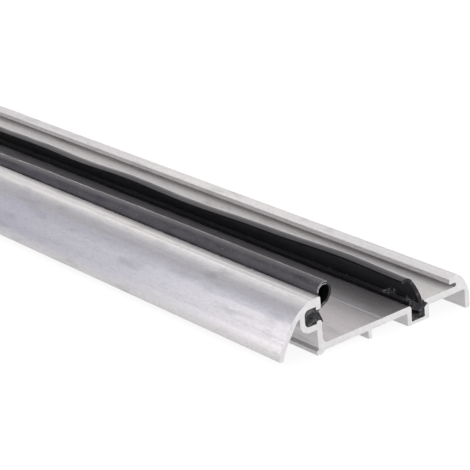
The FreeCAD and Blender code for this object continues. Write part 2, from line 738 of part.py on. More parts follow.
def main():
    """Build the three pieces, check them and write one file for each."""
    doc = FreeCAD.newDocument("door_threshold")
    s = write_sheet(doc)
    place = Layout(s)
    bodies = [
        build_sill(doc, s, place),
        build_bubble_seal(doc, s, place),
        build_flap_seal(doc, s, place),
    ]
    for body in bodies:
        stand_on_floor(body, s, place)
    doc.recompute()
    check(doc, bodies)
    os.makedirs("parts", exist_ok=True)
    for body in bodies:
        body.Shape.exportStep(f"parts/{body.Label}.step")
        box = body.Shape.BoundBox
        print(f"{body.Label}: x {box.XMin:.2f} to {box.XMax:.2f}, y {box.YMin:.2f} to {box.YMax:.2f},"
              f" z {box.ZMin:.2f} to {box.ZMax:.2f}, {body.Shape.Volume:.0f} mm3")


main()
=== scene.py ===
"""A door threshold: an extruded aluminium sill with a bubble seal and a flap seal.

The cross-sections are drawn in millimetres with the deck level: u runs from the
outside of the building to the inside and is zero at the outer face of the upright,
and v runs up from the top of the deck. DeckFrame tips them by the fall of the deck
and turns them into metres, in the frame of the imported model. Angles are in degrees,
and a corner's rounding is given by its radius.
"""

from __future__ import annotations

import logging
import math
import random
from dataclasses import dataclass
from enum import Enum, IntEnum
from functools import cached_property
from typing import Protocol

import bmesh
import bpy
from mathutils import Euler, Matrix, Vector

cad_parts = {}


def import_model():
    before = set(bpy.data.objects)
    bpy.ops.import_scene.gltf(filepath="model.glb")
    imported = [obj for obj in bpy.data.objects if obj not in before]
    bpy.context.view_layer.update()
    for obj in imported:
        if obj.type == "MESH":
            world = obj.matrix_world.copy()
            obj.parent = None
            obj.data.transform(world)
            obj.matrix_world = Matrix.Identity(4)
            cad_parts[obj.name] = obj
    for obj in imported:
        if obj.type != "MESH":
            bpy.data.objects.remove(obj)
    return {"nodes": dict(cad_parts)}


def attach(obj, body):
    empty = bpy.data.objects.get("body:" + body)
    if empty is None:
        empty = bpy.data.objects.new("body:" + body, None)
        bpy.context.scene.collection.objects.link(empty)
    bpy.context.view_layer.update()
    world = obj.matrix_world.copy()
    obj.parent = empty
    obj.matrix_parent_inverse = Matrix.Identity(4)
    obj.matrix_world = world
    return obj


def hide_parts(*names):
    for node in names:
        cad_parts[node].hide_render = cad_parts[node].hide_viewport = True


Spot = tuple[float, float]
Trio = tuple[float, float, float]
Place = tuple[float, float, float]
Colour = tuple[float, float, float]
Spread = tuple[Spot, Spot]
Mesh = bmesh.types.BMesh
Face = bmesh.types.BMFace
Edge = bmesh.types.BMEdge
Vert = bmesh.types.BMVert
Socket = bpy.types.NodeSocket

LOG = logging.getLogger("threshold")
BODY = "root"

MM = 0.001  # a millimetre in metres
WELD = 0.0005  # points closer than this are one point, in millimetres
BOW_STEP = 0.45  # about how long the straight pieces of a bow are, in millimetres
SEAL_STEP = 0.3  # the same for the smaller bows of a seal
BOW_LEAST = 3  # the fewest straight pieces of a bow
ROUND_STEPS = 6  # straight pieces of a rounded corner
ROUND_ROOM = 0.98  # the largest share of an edge that a rounding takes up
SQUARE = 0.9  # how far a face has to point along X to be cut square
ENDWISE = 0.5  # how far it has to point along X to be a cut end or its chamfer
MATCH_DIGITS = 4  # decimals by which the faces of two ends are matched
SHARP_ANGLE = 32.0  # the angle from which an edge looks sharp
ORIGIN: Place = (0.0, 0.0, 0.0)
BLACK: Colour = (0.0, 0.0, 0.0)
WHITE: Colour = (1.0, 1.0, 1.0)
FULL: Spot = (0.0, 1.0)
MIDRANGE: Spot = (0.3, 0.7)  # where most of a noise pattern lies


class Side(Enum):
    """Which way a bow of an outline bends, seen along the pen's way."""

    LEFT = 1
    RIGHT = -1


class Slot(Enum):
    """Material slots of the record."""

    METAL = "mill_aluminium"
    BUBBLE = "bubble_rubber"
    FLAP = "flap_rubber"


class Patch(IntEnum):
    """Parts of a surface with a finish of their own, as the faces are marked."""

    LONG = 0
    CUT = 1
    # from here on each patch paints light or shade into the colour: a paler strip, darker
    # drilling-line walls, a darker trough, a near-black hollow, a pale rim and a near-black flange
    # edge
    PAINTED_LIGHT = 2
    GRIME_AND_SHADE = 3
    TROUGH_SHADE = 4
    HOLLOW_SHADE = 5
    RIM_HIGHLIGHT = 6
    ROOT_SHADE = 7


class Operation(Enum):
    """What the Math node does to its terms."""

    ADD = "ADD"
    MULTIPLY = "MULTIPLY"
    MULTIPLY_ADD = "MULTIPLY_ADD"
    MAXIMUM = "MAXIMUM"


@dataclass(frozen=True)
class DeckFrame:
    """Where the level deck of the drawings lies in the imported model, and how long it runs."""

    length: float = 914.0
    fall: float = 5.2
    shift: Spot = (-22.1006, 2.8303)  # along Y and Z, in millimetres
    stand: float = 6.0  # height of the deck over the floor at slot_place
    slot_place: float = 34.7

    def floor(self, u: float) -> float:
        """Return the v of the floor under u."""
        return (self.slot_place - u) * math.tan(math.radians(self.fall)) - self.stand

    def place(self, bm: Mesh) -> None:
        """Tip a finished mesh by the fall of the deck, set it down and scale it to metres.

        Args:
            bm: The mesh, in millimetres in the deck frame.
        """
        turn = Euler((math.radians(self.fall), 0.0, 0.0)).to_matrix()
        bmesh.ops.rotate(bm, verts=bm.verts, cent=ORIGIN, matrix=turn)
        bmesh.ops.translate(bm, verts=bm.verts, vec=(0.0, *self.shift))
        bmesh.ops.scale(bm, verts=bm.verts, vec=(MM, MM, MM))


def polar(centre: Spot, radius: float, degrees: float) -> Spot:
    """Return the spot at a radius and an angle from a centre."""
    angle = math.radians(degrees)
    return centre[0] + radius * math.cos(angle), centre[1] + radius * math.sin(angle)


class Outline:
    """A closed cross-section drawn with a pen on the plane of the mesh's u and v."""

    def __init__(self, bm: Mesh, start: Spot, bow_step: float = BOW_STEP) -> None:
        """Put the pen down.

        Args:
            bm: The mesh to draw in.
            start: Where the outline starts.
            bow_step: About how long the straight pieces of a bow are.
        """
        self.bm = bm
        self.bow_step = bow_step
        self.first = bmesh.ops.create_vert(bm, co=(0.0, *start))["vert"][0]
        self.tip = self.first
        self.edges: list[Edge] = []
        self.rounds: list[tuple[Vert, float]] = []

    def line(self, u: float, v: float, radius: float = 0.0) -> None:
        """Draw a straight edge to a spot, and note the rounding of the corner there.

        Args:
            u: The spot's u.
            v: The spot's v.
            radius: The rounding of that corner.
        """
        made = bmesh.ops.extrude_vert_indiv(self.bm, verts=[self.tip])
        self.edges += made["edges"]
        self.tip = made["verts"][0]
        bmesh.ops.translate(self.bm, verts=[self.tip], vec=Vector((0.0, u, v)) - self.tip.co)
        if radius:
            self.rounds.append((self.tip, radius))

    def bow(self, end: Spot, radius: float, side: Side) -> None:
        """Spin the pen along an arc to a spot.

        Args:
            end: Where the arc ends.
            radius: The radius of the arc.
            side: The side that its centre is on.
        """
        start = self.tip.co.copy()
        chord = Vector((0.0, *end)) - start
        across = Vector((0.0, -chord.z, chord.y)).normalized()
        depth = math.sqrt(max(radius * radius - chord.length_squared / 4.0, 0.0))
        centre = start + chord / 2.0 + across * depth * side.value
        angle = 2.0 * math.asin(min(chord.length / (2.0 * radius), 1.0))
        steps = max(BOW_LEAST, round(radius * angle / self.bow_step))
        before = set(self.bm.edges)
        made = bmesh.ops.spin(
            self.bm, geom=[self.tip], cent=centre, axis=(1.0, 0.0, 0.0),
            angle=angle * side.value, steps=steps, use_duplicate=False)
        self.edges += [edge for edge in self.bm.edges if edge not in before]
        self.tip = made["geom_last"][0]

    def close(self) -> list[Edge]:
        """Join the pen's ends and round the noted corners.

        Returns:
            The edges of the outline.
        """
        if (self.tip.co - self.first.co).length < WELD:
            bmesh.ops.weld_verts(self.bm, targetmap={self.tip: self.first})
            kept = [edge for edge in self.edges if edge.is_valid]
            self.edges = list(dict.fromkeys([*kept, *self.first.link_edges]))
        else:
            made = bmesh.ops.contextual_create(self.bm, geom=[self.tip, self.first])
            self.edges += made["edges"]
        others = set(self.bm.faces)
        bmesh.ops.edgeloop_fill(self.bm, edges=self.edges)
        for corner, radius in self.rounds:
            self._round(corner, radius)
        face = next(face for face in self.bm.faces if face not in others)
        edges = list(face.edges)
        bmesh.ops.delete(self.bm, geom=[face], context="FACES_ONLY")
        return edges

    def _round(self, corner: Vert, radius: float) -> None:
        """Round one corner of the outline.

        Args:
            corner: The corner.
            radius: The radius of its rounding.
        """
        ways = [edge.other_vert(corner).co - corner.co for edge in corner.link_edges]
        opening = ways[0].angle(ways[1])
        room = ROUND_ROOM * min(way.length for way in ways)
        bmesh.ops.bevel(
            self.bm, geom=[corner], offset=min(radius / math.tan(opening / 2.0), room),
            offset_type="OFFSET", affect="VERTICES", segments=ROUND_STEPS, profile=0.5,
            material=-1)


def fill(bm: Mesh, *loops: list[Edge]) -> list[Face]:
    """Fill an outline, less the holes inside it.

    Args:
        bm: The mesh that holds the outlines.
        loops: The edges of the outline and of each hole.

    Returns:
        The new faces.
    """
    edges = [edge for loop in loops for edge in loop]
    made = bmesh.ops.triangle_fill(bm, use_beauty=True, use_dissolve=False, edges=edges)
    return [item for item in made["geom"] if isinstance(item, Face)]


def pull(bm: Mesh, faces: list[Face], length: float) -> list[Face]:
    """Extrude faces along X.

    Args:
        bm: The mesh.
        faces: The faces to extrude.
        length: How far they go.

    Returns:
        The faces at the far end.
    """
    made = bmesh.ops.extrude_face_region(bm, geom=faces)
    moved = [item for item in made["geom"] if isinstance(item, Vert)]
    bmesh.ops.translate(bm, verts=moved, vec=(length, 0.0, 0.0))
    return [item for item in made["geom"] if isinstance(item, Face)]


def cut_across(bm: Mesh, run: float, cuts: int) -> None:
    """Divide an extruded mesh along its length.

    Args:
        bm: The mesh.
        run: How long it is.
        cuts: How many cuts are made across it.
    """
    edges = [
        edge for edge in bm.edges
        if abs(edge.verts[0].co.x - edge.verts[1].co.x) > run / 2.0
    ]
    bmesh.ops.subdivide_edges(bm, edges=edges, cuts=cuts)


def is_endwise(face: Face) -> bool:
    """Return whether a face belongs to a cut end or its chamfer."""
    return abs(face.normal.x) > ENDWISE


def middle_of(face: Face) -> Spot:
    """Return the rounded u and v of a face's middle, by which two ends are matched."""
    centre = face.calc_center_median()
    return round(centre.y, MATCH_DIGITS), round(centre.z, MATCH_DIGITS)


def break_edges(bm: Mesh, size: float) -> None:
    """Break the edges around both sawn ends with a small chamfer.

    Args:
        bm: The closed mesh, which is shorter than the piece by the chamfer at each end.
        size: The width and depth of the chamfer.
    """
    bmesh.ops.recalc_face_normals(bm, faces=bm.faces)
    for side in (-1.0, 1.0):
        cap = [face for face in bm.faces if face.normal.x * side > SQUARE]
        bmesh.ops.inset_region(
            bm, faces=cap, thickness=size, depth=size, use_boundary=True, use_even_offset=True)


def add_object(name: str, data: bpy.types.ID) -> bpy.types.Object:
    """Add an object to the scene.

    Args:
        name: The name of the object.
        data: Its mesh, lamp or camera.

    Returns:
        The new object, at the origin.
    """
    added = bpy.data.objects.new(name, data)
    bpy.context.scene.collection.objects.link(added)
    return added


def add_mesh(bm: Mesh, name: str, materials: list[bpy.types.Material]) -> bpy.types.Object:
    """Turn a mesh into an object of the scene.

    Args:
        bm: The finished mesh, which is freed.
        name: The name of the object and of its mesh.
        materials: Its materials, in the order of the faces' material indices.

    Returns:
        The new object.
    """
    mesh = bpy.data.meshes.new(name)
    bm.to_mesh(mesh)
    bm.free()
    for material in materials:
        mesh.materials.append(material)
    return add_object(name, mesh)


class Finish(Protocol):
    """What dresses a patch of a piece."""

    def material(self) -> bpy.types.Material:
        """Return the finished material."""


def finish_piece(
    bm: Mesh, name: str, finishes: dict[Patch, Finish],
) -> bpy.types.Object:
    """Turn a mesh into a piece that rides on the sill, with each patch in its own finish.

    Args:
        bm: The finished mesh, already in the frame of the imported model. The material index
            of a face is its patch, and cut ends need no mark.
        name: The name of the piece.
        finishes: The finish of each patch that the piece has.

    Returns:
        The new piece.
    """
    bm.normal_update()
    patches = list(finishes)
    for face in bm.faces:
        face.smooth = True
        patch = Patch(face.material_index)
        if patch is Patch.LONG and Patch.CUT in finishes and is_endwise(face):
            patch = Patch.CUT
        face.material_index = patches.index(patch)
    piece = add_mesh(bm, name, [finish.material() for finish in finishes.values()])
    piece.data.set_sharp_from_angle(angle=math.radians(SHARP_ANGLE))
    evened = piece.modifiers.new("even_normals", "WEIGHTED_NORMAL")
    evened.keep_sharp = True
    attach(piece, BODY)
    LOG.info("%s: %d faces", name, len(piece.data.polygons))
    return piece


@dataclass(frozen=True)
class Pattern:
    """A noise pattern: its blotches to the metre along each axis, finer detail and place."""

    stretch: Trio
    detail: float = 2.0
    shift: float = 0.0


def combine(tree: bpy.types.NodeTree, operation: Operation, *terms: Socket | float) -> Socket:
    """Combine patterns and numbers with the Math node.

    Args:
        tree: The nodes that it is added to.
        operation: What it does to the terms.
        terms: The patterns and numbers, in the order of the node's inputs.

    Returns:
        The result.
    """
    node = tree.nodes.new("ShaderNodeMath")
    node.operation = operation.value
    for socket, term in zip(node.inputs, terms):
        if isinstance(term, float):
            socket.default_value = term
        else:
            tree.links.new(term, socket)
    return node.outputs["Value"]


class Graph:
    """A material's nodes, with short calls for the patterns that the finishes share."""

    def __init__(self, name: str) -> None:
        """Start a material with its plain shader.

        Args:
            name: The name of the material.
        """
        self.material = bpy.data.materials.new(name)
        self.material.use_nodes = True
        self.tree = self.material.node_tree
        self.shader = self.tree.nodes["Principled BSDF"]

    @cached_property
    def place(self) -> Socket:
        """Return the place on the object that the patterns follow."""
        return self.tree.nodes.new("ShaderNodeTexCoord").outputs["Object"]

    def settle(self, values: dict[str, float | Colour]) -> None:
        """Set sockets of the shader that are the same all over the surface.

        Args:
            values: The numbers and colours, by the names of their sockets.
        """
        for name, value in values.items():
            socket = self.shader.inputs[name]
            socket.default_value = (*value, 1.0) if isinstance(value, tuple) else value

    def link(self, source: Socket, socket: str) -> None:
        """Feed a socket of the shader."""
        self.tree.links.new(source, self.shader.inputs[socket])

    def noise(self, pattern: Pattern) -> Socket:
        """Lay a noise pattern over the object.

        Args:
            pattern: Its sizes and its place.

        Returns:
            The pattern, about 0.5 on average.
        """
        mapping = self.tree.nodes.new("ShaderNodeMapping")
        mapping.inputs["Scale"].default_value = pattern.stretch
        mapping.inputs["Location"].default_value = (pattern.shift,) * 3
        self.tree.links.new(self.place, mapping.inputs["Vector"])
        noise = self.tree.nodes.new("ShaderNodeTexNoise")
        noise.inputs["Scale"].default_value = 1.0
        noise.inputs["Detail"].default_value = pattern.detail
        self.tree.links.new(mapping.outputs["Vector"], noise.inputs["Vector"])
        return noise.outputs["Fac"]

    def spread(self, source: Socket, old: Spot, new: Spot = FULL) -> Socket:
        """Map one range of a pattern to another, held at its ends.

        Args:
            source: The pattern.
            old: The range that is mapped.
            new: What it becomes.

        Returns:
            The mapped pattern.
        """
        node = self.tree.nodes.new("ShaderNodeMapRange")
        for name, value in zip(("From Min", "From Max", "To Min", "To Max"), (*old, *new)):
            node.inputs[name].default_value = value
        self.tree.links.new(source, node.inputs["Value"])
        return node.outputs["Result"]

    def join(self, operation: Operation, first: Socket, second: Socket) -> Socket:
        """Return two patterns joined by the Math node."""
        return combine(self.tree, operation, first, second)

    def blend(self, factor: Socket, low: Colour | Socket, high: Colour) -> Socket:
        """Go from one colour to another with a pattern.

        Args:
            factor: The pattern.
            low: The colour, or colour pattern, where it is 0.
            high: The colour where it is 1.

        Returns:
            The mixed colour.
        """
        node = self.tree.nodes.new("ShaderNodeMix")
        node.data_type = "RGBA"
        self.tree.links.new(factor, node.inputs["Factor"])
        if isinstance(low, tuple):
            node.inputs["A"].default_value = (*low, 1.0)
        else:
            self.tree.links.new(low, node.inputs["A"])
        node.inputs["B"].default_value = (*high, 1.0)
        return node.outputs["Result"]

    def relief(self, *layers: tuple[Socket, float]) -> None:
        """Raise the surface by patterns.

        Args:
            layers: The patterns, each with its height in millimetres.
        """
        normal = None
        for pattern, height in layers:
            bump = self.tree.nodes.new("ShaderNodeBump")
            bump.inputs["Strength"].default_value = 1.0
            bump.inputs["Distance"].default_value = height * MM
            self.tree.links.new(pattern, bump.inputs["Height"])
            if normal is not None:
                self.tree.links.new(normal, bump.inputs["Normal"])
            normal = bump.outputs["Normal"]
        self.link(normal, "Normal")


@dataclass(frozen=True)
class MillFinish:
    """Bare extruded aluminium: die lines along its length, streaks, stains and specks."""

    name: str = "mill_aluminium"
    cool: Colour = (0.76, 0.745, 0.76)
    warm: Colour = (0.82, 0.80, 0.79)
    streak: Colour = (0.58, 0.56, 0.565)
    smudge: Colour = (0.50, 0.485, 0.49)
    metallic: float = 0.8
    specular: float = 0.2
    roughness: Spot = (0.29, 0.43)
    roughness_range: Spot = (0.7, 1.3)
    lines: Pattern = Pattern((11.0, 1600.0, 1600.0), 3.0)
    broad_lines: Pattern = Pattern((5.5, 1600.0 / 6.0, 1600.0 / 6.0), 2.0, 3.1)
    patches: Pattern = Pattern((9.0, 40.0, 40.0), 1.0, 7.7)
    grain: Pattern = Pattern((900.0, 2600.0, 2600.0), 2.0, 1.3)
    stains: Pattern = Pattern((70.0, 260.0, 260.0), 6.0, 5.0)
    specks: Pattern = Pattern((700.0, 1900.0, 1900.0), 2.0, 9.0)
    patch_range: Spot = (0.35, 0.65)
    streak_spread: Spread = ((0.85, 1.2), (0.0, 0.28))
    stain_spread: Spread = ((0.56, 0.72), (0.0, 0.58))
    speck_spread: Spread = ((0.45, 0.8), (0.0, 0.4))
    line_height: float = 0.010
    grain_height: float = 0.002

    def material(self) -> bpy.types.Material:
        """Build the material's nodes.

        Returns:
            The finished material.
        """
        graph = Graph(self.name)
        graph.settle({"Metallic": self.metallic, "Specular IOR Level": self.specular})
        lines = graph.noise(self.lines)
        broad = graph.noise(self.broad_lines)
        grain = graph.noise(self.grain)
        patches = graph.spread(graph.noise(self.patches), self.patch_range)
        streaks = graph.spread(graph.join(Operation.ADD, lines, broad), *self.streak_spread)
        stains = graph.spread(graph.noise(self.stains), *self.stain_spread)
        specks = graph.spread(graph.noise(self.specks), *self.speck_spread)
        tone = graph.blend(patches, self.cool, self.warm)
        tone = graph.blend(streaks, tone, self.streak)
        tone = graph.blend(stains, tone, self.smudge)
        graph.link(graph.blend(specks, tone, self.smudge), "Base Color")
        scores = graph.join(Operation.ADD, lines, grain)
        graph.link(graph.spread(scores, self.roughness_range, self.roughness), "Roughness")
        graph.relief(
            (lines, self.line_height), (broad, self.line_height), (grain, self.grain_height))
        return graph.material


@dataclass(frozen=True)
class SawnFinish:
    """Freshly sawn aluminium: brighter, matt and faintly scored."""

    name: str = "sawn_aluminium"
    colour: Colour = (0.90, 0.885, 0.89)
    dull: Colour = (0.80, 0.785, 0.79)
    metallic: float = 0.75
    roughness: Spot = (0.42, 0.6)
    scores: Pattern = Pattern((900.0, 2400.0, 220.0), 3.0)
    blotches: Pattern = Pattern((500.0, 500.0, 500.0), 3.0, 4.0)
    heights: Spot = (0.012, 0.02)

    def material(self) -> bpy.types.Material:
        """Build the material's nodes.

        Returns:
            The finished material.
        """
        graph = Graph(self.name)
        graph.settle({"Metallic": self.metallic})
        scores = graph.noise(self.scores)
        blotches = graph.noise(self.blotches)
        worn = graph.spread(blotches, MIDRANGE, (1.0, 0.0))
        graph.link(graph.blend(worn, self.colour, self.dull), "Base Color")
        graph.link(graph.spread(scores, MIDRANGE, self.roughness), "Roughness")
        graph.relief(*zip((scores, blotches), self.heights))
        return graph.material


@dataclass(frozen=True)
class RubberFinish:
    """Extruded rubber: soft sheen, faint lines along its length and pale dust."""

    name: str
    colour: Colour
    worn: Colour
    dust: Colour = (0.30, 0.29, 0.29)
    dust_level: float = 0.70
    dust_fade: float = 0.06
    roughness: Spot = (0.30, 0.5)
    specular: float = 0.5
    gloss: Colour = (0.97, 0.93, 1.0)
    sheen: float = 0.1
    sheen_roughness: float = 0.4
    lines: Pattern = Pattern((6.0, 1500.0, 1500.0), 2.0, 2.0)
    mottle: Pattern = Pattern((120.0, 400.0, 400.0), 4.0)
    specks: Pattern = Pattern((2600.0, 2600.0, 2600.0), 2.0, 6.0)
    mottle_range: Spot = (0.35, 0.75)
    heights: Trio = (0.012, 0.03, 0.006)

    def material(self) -> bpy.types.Material:
        """Build the material's nodes.

        Returns:
            The finished material.
        """
        graph = Graph(self.name)
        graph.settle({
            "Specular IOR Level": self.specular, "Specular Tint": self.gloss,
            "Sheen Weight": self.sheen, "Sheen Roughness": self.sheen_roughness})
        lines = graph.noise(self.lines)
        mottle = graph.noise(self.mottle)
        specks = graph.noise(self.specks)
        tone = graph.blend(graph.spread(mottle, self.mottle_range), self.colour, self.worn)
        dusty = graph.spread(specks, (self.dust_level, self.dust_level + self.dust_fade))
        graph.link(graph.blend(dusty, tone, self.dust), "Base Color")
        graph.link(graph.spread(mottle, MIDRANGE, self.roughness), "Roughness")
        graph.relief(*zip((lines, mottle, specks), self.heights))
        return graph.material


@dataclass(frozen=True)
class CutRubberFinish:
    """Rubber where a knife or saw went through it: torn, mottled and a little lighter."""

    name: str
    colour: Colour
    torn: Colour
    specular: float = 0.25
    roughness: Spot = (0.55, 0.85)
    tears: Pattern = Pattern((1500.0, 1500.0, 1500.0), 4.0)
    clots: Pattern = Pattern((420.0, 420.0, 420.0), 2.0, 3.0)
    fleck_range: Spot = (0.24, 0.36)
    heights: Spot = (0.06, 0.12)

    def material(self) -> bpy.types.Material:
        """Build the material's nodes.

        Returns:
            The finished material.
        """
        graph = Graph(self.name)
        graph.settle({"Specular IOR Level": self.specular})
        tears = graph.noise(self.tears)
        clots = graph.noise(self.clots)
        flecks = graph.spread(graph.join(Operation.MULTIPLY, tears, clots), self.fleck_range)
        graph.link(graph.blend(flecks, self.colour, self.torn), "Base Color")
        graph.link(graph.spread(tears, MIDRANGE, self.roughness), "Roughness")
        graph.relief(*zip((tears, clots), self.heights))
        return graph.material


@dataclass
class Sill:
    """The aluminium extrusion: deck, upright with its nose and seal pocket, inner nose."""

    deck: DeckFrame
    depth: float = 57.4
    stations: int = 15
    chamfer: float = 0.07
    edge_round: float = 0.1
    deck_wall: float = 2.0
    deck_bend: float = 2.0
    web_round: float = 0.4
    rib: Spot = (18.25, 19.45)  # its two sides
    drill_line: Trio = (23.1, 23.55, 23.8)  # near edge, bottom, far edge
    drill_depth: float = 0.25
    drill_round: float = 0.04
    upright: float = 1.85
    foot: Trio = (-0.5, 1.3, 1.9)  # outer side, inner side, height
    foot_spread: float = 0.5
    foot_round: float = 0.2
    foot_groove: Trio = (0.3, 1.65, 0.45)  # bottom, height, drop to the edge below it
    foot_groove_top: float = 0.3
    pocket_low: Spot = (-3.95, 6.5)
    pocket_high: Spot = (0.12, 11.5)
    pocket_round: float = 1.5
    pocket_corner: float = 0.2
    pocket_wall: float = 1.8
    mouth: Spot = (7.25, 10.45)  # top of the lower lip, underside of the upper lip
    toe: Spot = (-13.8, -0.15)
    toe_bend: float = 12.0
    toe_slope: float = 80.0
    toe_round: float = 0.45
    face_slope: float = 56.0
    nose_wall: float = 1.6
    shoulder_bend: float = 13.25
    shoulder_top: float = 13.95
    shoulder_slope: float = 16.5
    crotch_round: float = 0.3
    land: tuple[Spot, Spot] = ((-0.3, 14.1), (1.85, 14.0))  # its two edges
    land_groove: float = 6.0
    land_round: float = 0.3
    lip_rounds: Trio = (0.35, 0.5, 0.75)  # upper lip, back and front of the lower lip
    slot: Spot = (34.7, 39.7)  # its two sides
    slot_depth: float = 5.0
    slot_wall: float = 1.7
    slot_floor: float = 0.9
    slot_round: float = 1.0
    recess: Trio = (0.45, 2.25, 1.4)  # top, base, reach into the wall
    leg_wall: float = 1.8
    leg_round: float = 0.15
    inner_top: float = 3.47
    inner_crown: float = 5.2
    crown_angle: float = 68.0
    crown_round: float = 0.8
    inner_flank: float = 12.0
    flank_angle: float = 36.0
    inner_lip: Spot = (7.75, 2.85)  # distance from the inner edge, height
    inner_lip_rounds: Spot = (0.5, 0.25)  # under, over
    groove: Spot = (1.25, 1.3)  # height, reach under the lip
    shade_reach: float = 1.0  # how far the strip of painted light goes on past the groove's reach
    patch_slack: float = 0.3  # how far a patch goes under the deck, or stops under the lip
    skin: float = 0.01  # how far under the deck the drilling line's walls start
    finish: MillFinish = MillFinish()
    cut: SawnFinish = SawnFinish()
    # painted light: a paler, matt copy of the metal on the strip behind the blade and in the lip's
    # groove, lighter than the metal is, standing in for light that the shaded strip lacks
    dull: MillFinish = MillFinish(
        "painted_light_aluminium", cool=(0.82, 0.795, 0.79), warm=(0.87, 0.84, 0.825), metallic=0.25,
        roughness=(0.42, 0.55))
    # painted shade and grime: a darker copy of the metal on the walls of the drilling line
    grime_and_shade: MillFinish = MillFinish(
        "grime_and_shade_aluminium", cool=(0.58, 0.565, 0.575), warm=(0.62, 0.60, 0.595))
    # painted shade: a darker copy of the metal on the deck between the upright and the slot, where
    # the seals shade it
    trough_shade: MillFinish = MillFinish(
        "trough_shade_aluminium", cool=(0.71, 0.675, 0.695), warm=(0.765, 0.725, 0.735))

    def build(self) -> bpy.types.Object:
        """Draw the section, extrude it and mark its patches.

        Returns:
            The finished sill.
        """
        bm = bmesh.new()
        cap = fill(bm, self.section(bm))
        run = self.deck.length - 2.0 * self.chamfer
        bmesh.ops.translate(bm, verts=bm.verts, vec=(-run / 2.0, 0.0, 0.0))
        pull(bm, cap, run)
        cut_across(bm, run, self.stations)
        break_edges(bm, self.chamfer)
        for face in bm.faces:
            face.material_index = self.patch_of(face)
        self.deck.place(bm)
        piece = finish_piece(bm, "sill", {
            Patch.LONG: self.finish, Patch.CUT: self.cut, Patch.PAINTED_LIGHT: self.dull,
            Patch.GRIME_AND_SHADE: self.grime_and_shade, Patch.TROUGH_SHADE: self.trough_shade})
        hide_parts("sill_extrusion")
        return piece

    def patch_of(self, face: Face) -> Patch:
        """Find the patch of a face by its place on the section.

        Args:
            face: A face of the sill, in the deck frame.

        Returns:
            A paler, matt copy of the metal (painted light) on the strip behind the blade up to
            the grooved lip, a darker copy (painted shade and grime) on the walls of the drilling
            line, a darker copy (painted shade) on the deck between the upright and the slot, CUT
            on the sawn ends and LONG elsewhere.
        """
        if is_endwise(face):
            return Patch.CUT
        _, u, v = face.calc_center_median()
        lip_reach, lip_top = self.inner_lip
        shade_end = self.depth - lip_reach + self.groove[1] + self.shade_reach
        slack = self.patch_slack
        # the paler strip paints light; the darker drilling-line walls and trough paint shade, and
        # the walls grime as well
        if self.slot[1] < u < shade_end and -slack < v < lip_top - slack:
            return Patch.PAINTED_LIGHT
        if self.drill_line[0] < u < self.drill_line[2] and -self.drill_depth < v < -self.skin:
            return Patch.GRIME_AND_SHADE
        if self.upright < u < self.slot[0] and -slack < v < self.deck_bend:
            return Patch.TROUGH_SHADE
        return Patch.LONG

    @property
    def toe_centre(self) -> Spot:
        """Return the centre of the bend above the toe of the nose."""
        return polar(self.toe, -self.toe_bend, self.toe_slope + 90.0)

    @property
    def shoulder_centre(self) -> Spot:
        """Find the bend at the top of the nose, which meets the sloping face smoothly.

        Returns:
            Its centre.
        """
        face_low = polar(self.toe_centre, self.toe_bend, self.face_slope + 90.0)
        face = math.radians(self.face_slope)
        v = self.shoulder_top - self.shoulder_bend * math.cos(math.radians(self.shoulder_slope))
        rise = v + self.shoulder_bend * math.cos(face) - face_low[1]
        u = face_low[0] + rise / math.tan(face) + self.shoulder_bend * math.sin(face)
        return u, v

    def section(self, bm: Mesh) -> list[Edge]:
        """Draw the cross-section, up over the nose and back along the underside.

        Args:
            bm: The mesh to draw in.

        Returns:
            The edges of the outline.
        """
        toe_normal = self.toe_slope + 90.0
        face_normal = self.face_slope + 90.0
        toe, toe_bend = self.toe_centre, self.toe_bend
        shoulder, shoulder_bend = self.shoulder_centre, self.shoulder_bend
        inner_toe = toe_bend - self.nose_wall
        inner_shoulder = shoulder_bend - self.nose_wall
        block_left = self.pocket_low[0] - self.pocket_wall
        crotch = shoulder[1] + math.sqrt(inner_shoulder ** 2 - (block_left - shoulder[0]) ** 2)

        pen = Outline(bm, polar(toe, toe_bend, face_normal))
        pen.line(*polar(shoulder, shoulder_bend, face_normal))
        top = polar(shoulder, shoulder_bend, self.shoulder_slope + 90.0)
        pen.bow(top, shoulder_bend, Side.RIGHT)
        pen.bow(self.land[0], self.land_groove, Side.LEFT)
        pen.line(*self.land[1], self.land_round)
        self.draw_pocket(pen)
        self.draw_deck(pen)
        self.draw_inner_nose(pen)
        self.draw_underside(pen)
        pen.line(block_left, crotch, self.crotch_round)
        pen.bow(polar(shoulder, inner_shoulder, face_normal), inner_shoulder, Side.LEFT)
        pen.line(*polar(toe, inner_toe, face_normal))
        pen.bow(polar(toe, inner_toe, toe_normal), inner_toe, Side.LEFT)
        pen.rounds.append((pen.tip, self.toe_round))
        pen.line(*self.toe, self.toe_round)
        pen.bow(polar(toe, toe_bend, face_normal), toe_bend, Side.RIGHT)
        return pen.close()

    def draw_pocket(self, pen: Outline) -> None:
        """Draw the two lips and the pocket between them, from the land down to the deck.

        Args:
            pen: The outline, at the edge of the land.
        """
        edge, back, front = self.lip_rounds
        (left, low), (right, high) = self.pocket_low, self.pocket_high
        pen.line(self.upright, self.mouth[1], edge)
        pen.line(right, self.mouth[1], edge)
        pen.line(right, high, self.pocket_corner)
        pen.line(left, high, self.pocket_round)
        pen.line(left, low, self.pocket_round)
        pen.line(right, low, self.pocket_corner)
        pen.line(right, self.mouth[0], back)
        pen.line(self.upright, self.mouth[0], front)
        pen.line(self.upright, 0.0, self.deck_bend)

    def draw_deck(self, pen: Outline) -> None:
        """Draw the top of the deck, with the drilling line and the seal slot.

        Args:
            pen: The outline, at the foot of the upright.
        """
        near, middle, far = self.drill_line
        left, right = self.slot
        top, base, reach = self.recess
        pen.line(near, 0.0, self.drill_round)
        pen.line(middle, -self.drill_depth, self.drill_round)
        pen.line(far, 0.0, self.drill_round)
        pen.line(left, 0.0, self.slot_round)
        pen.line(left, -self.slot_depth)
        pen.line(right, -self.slot_depth)
        pen.line(right, -base)
        pen.line(right + reach, -(top + base) / 2.0)
        pen.line(right, -top)
        pen.line(right, 0.0, self.edge_round)

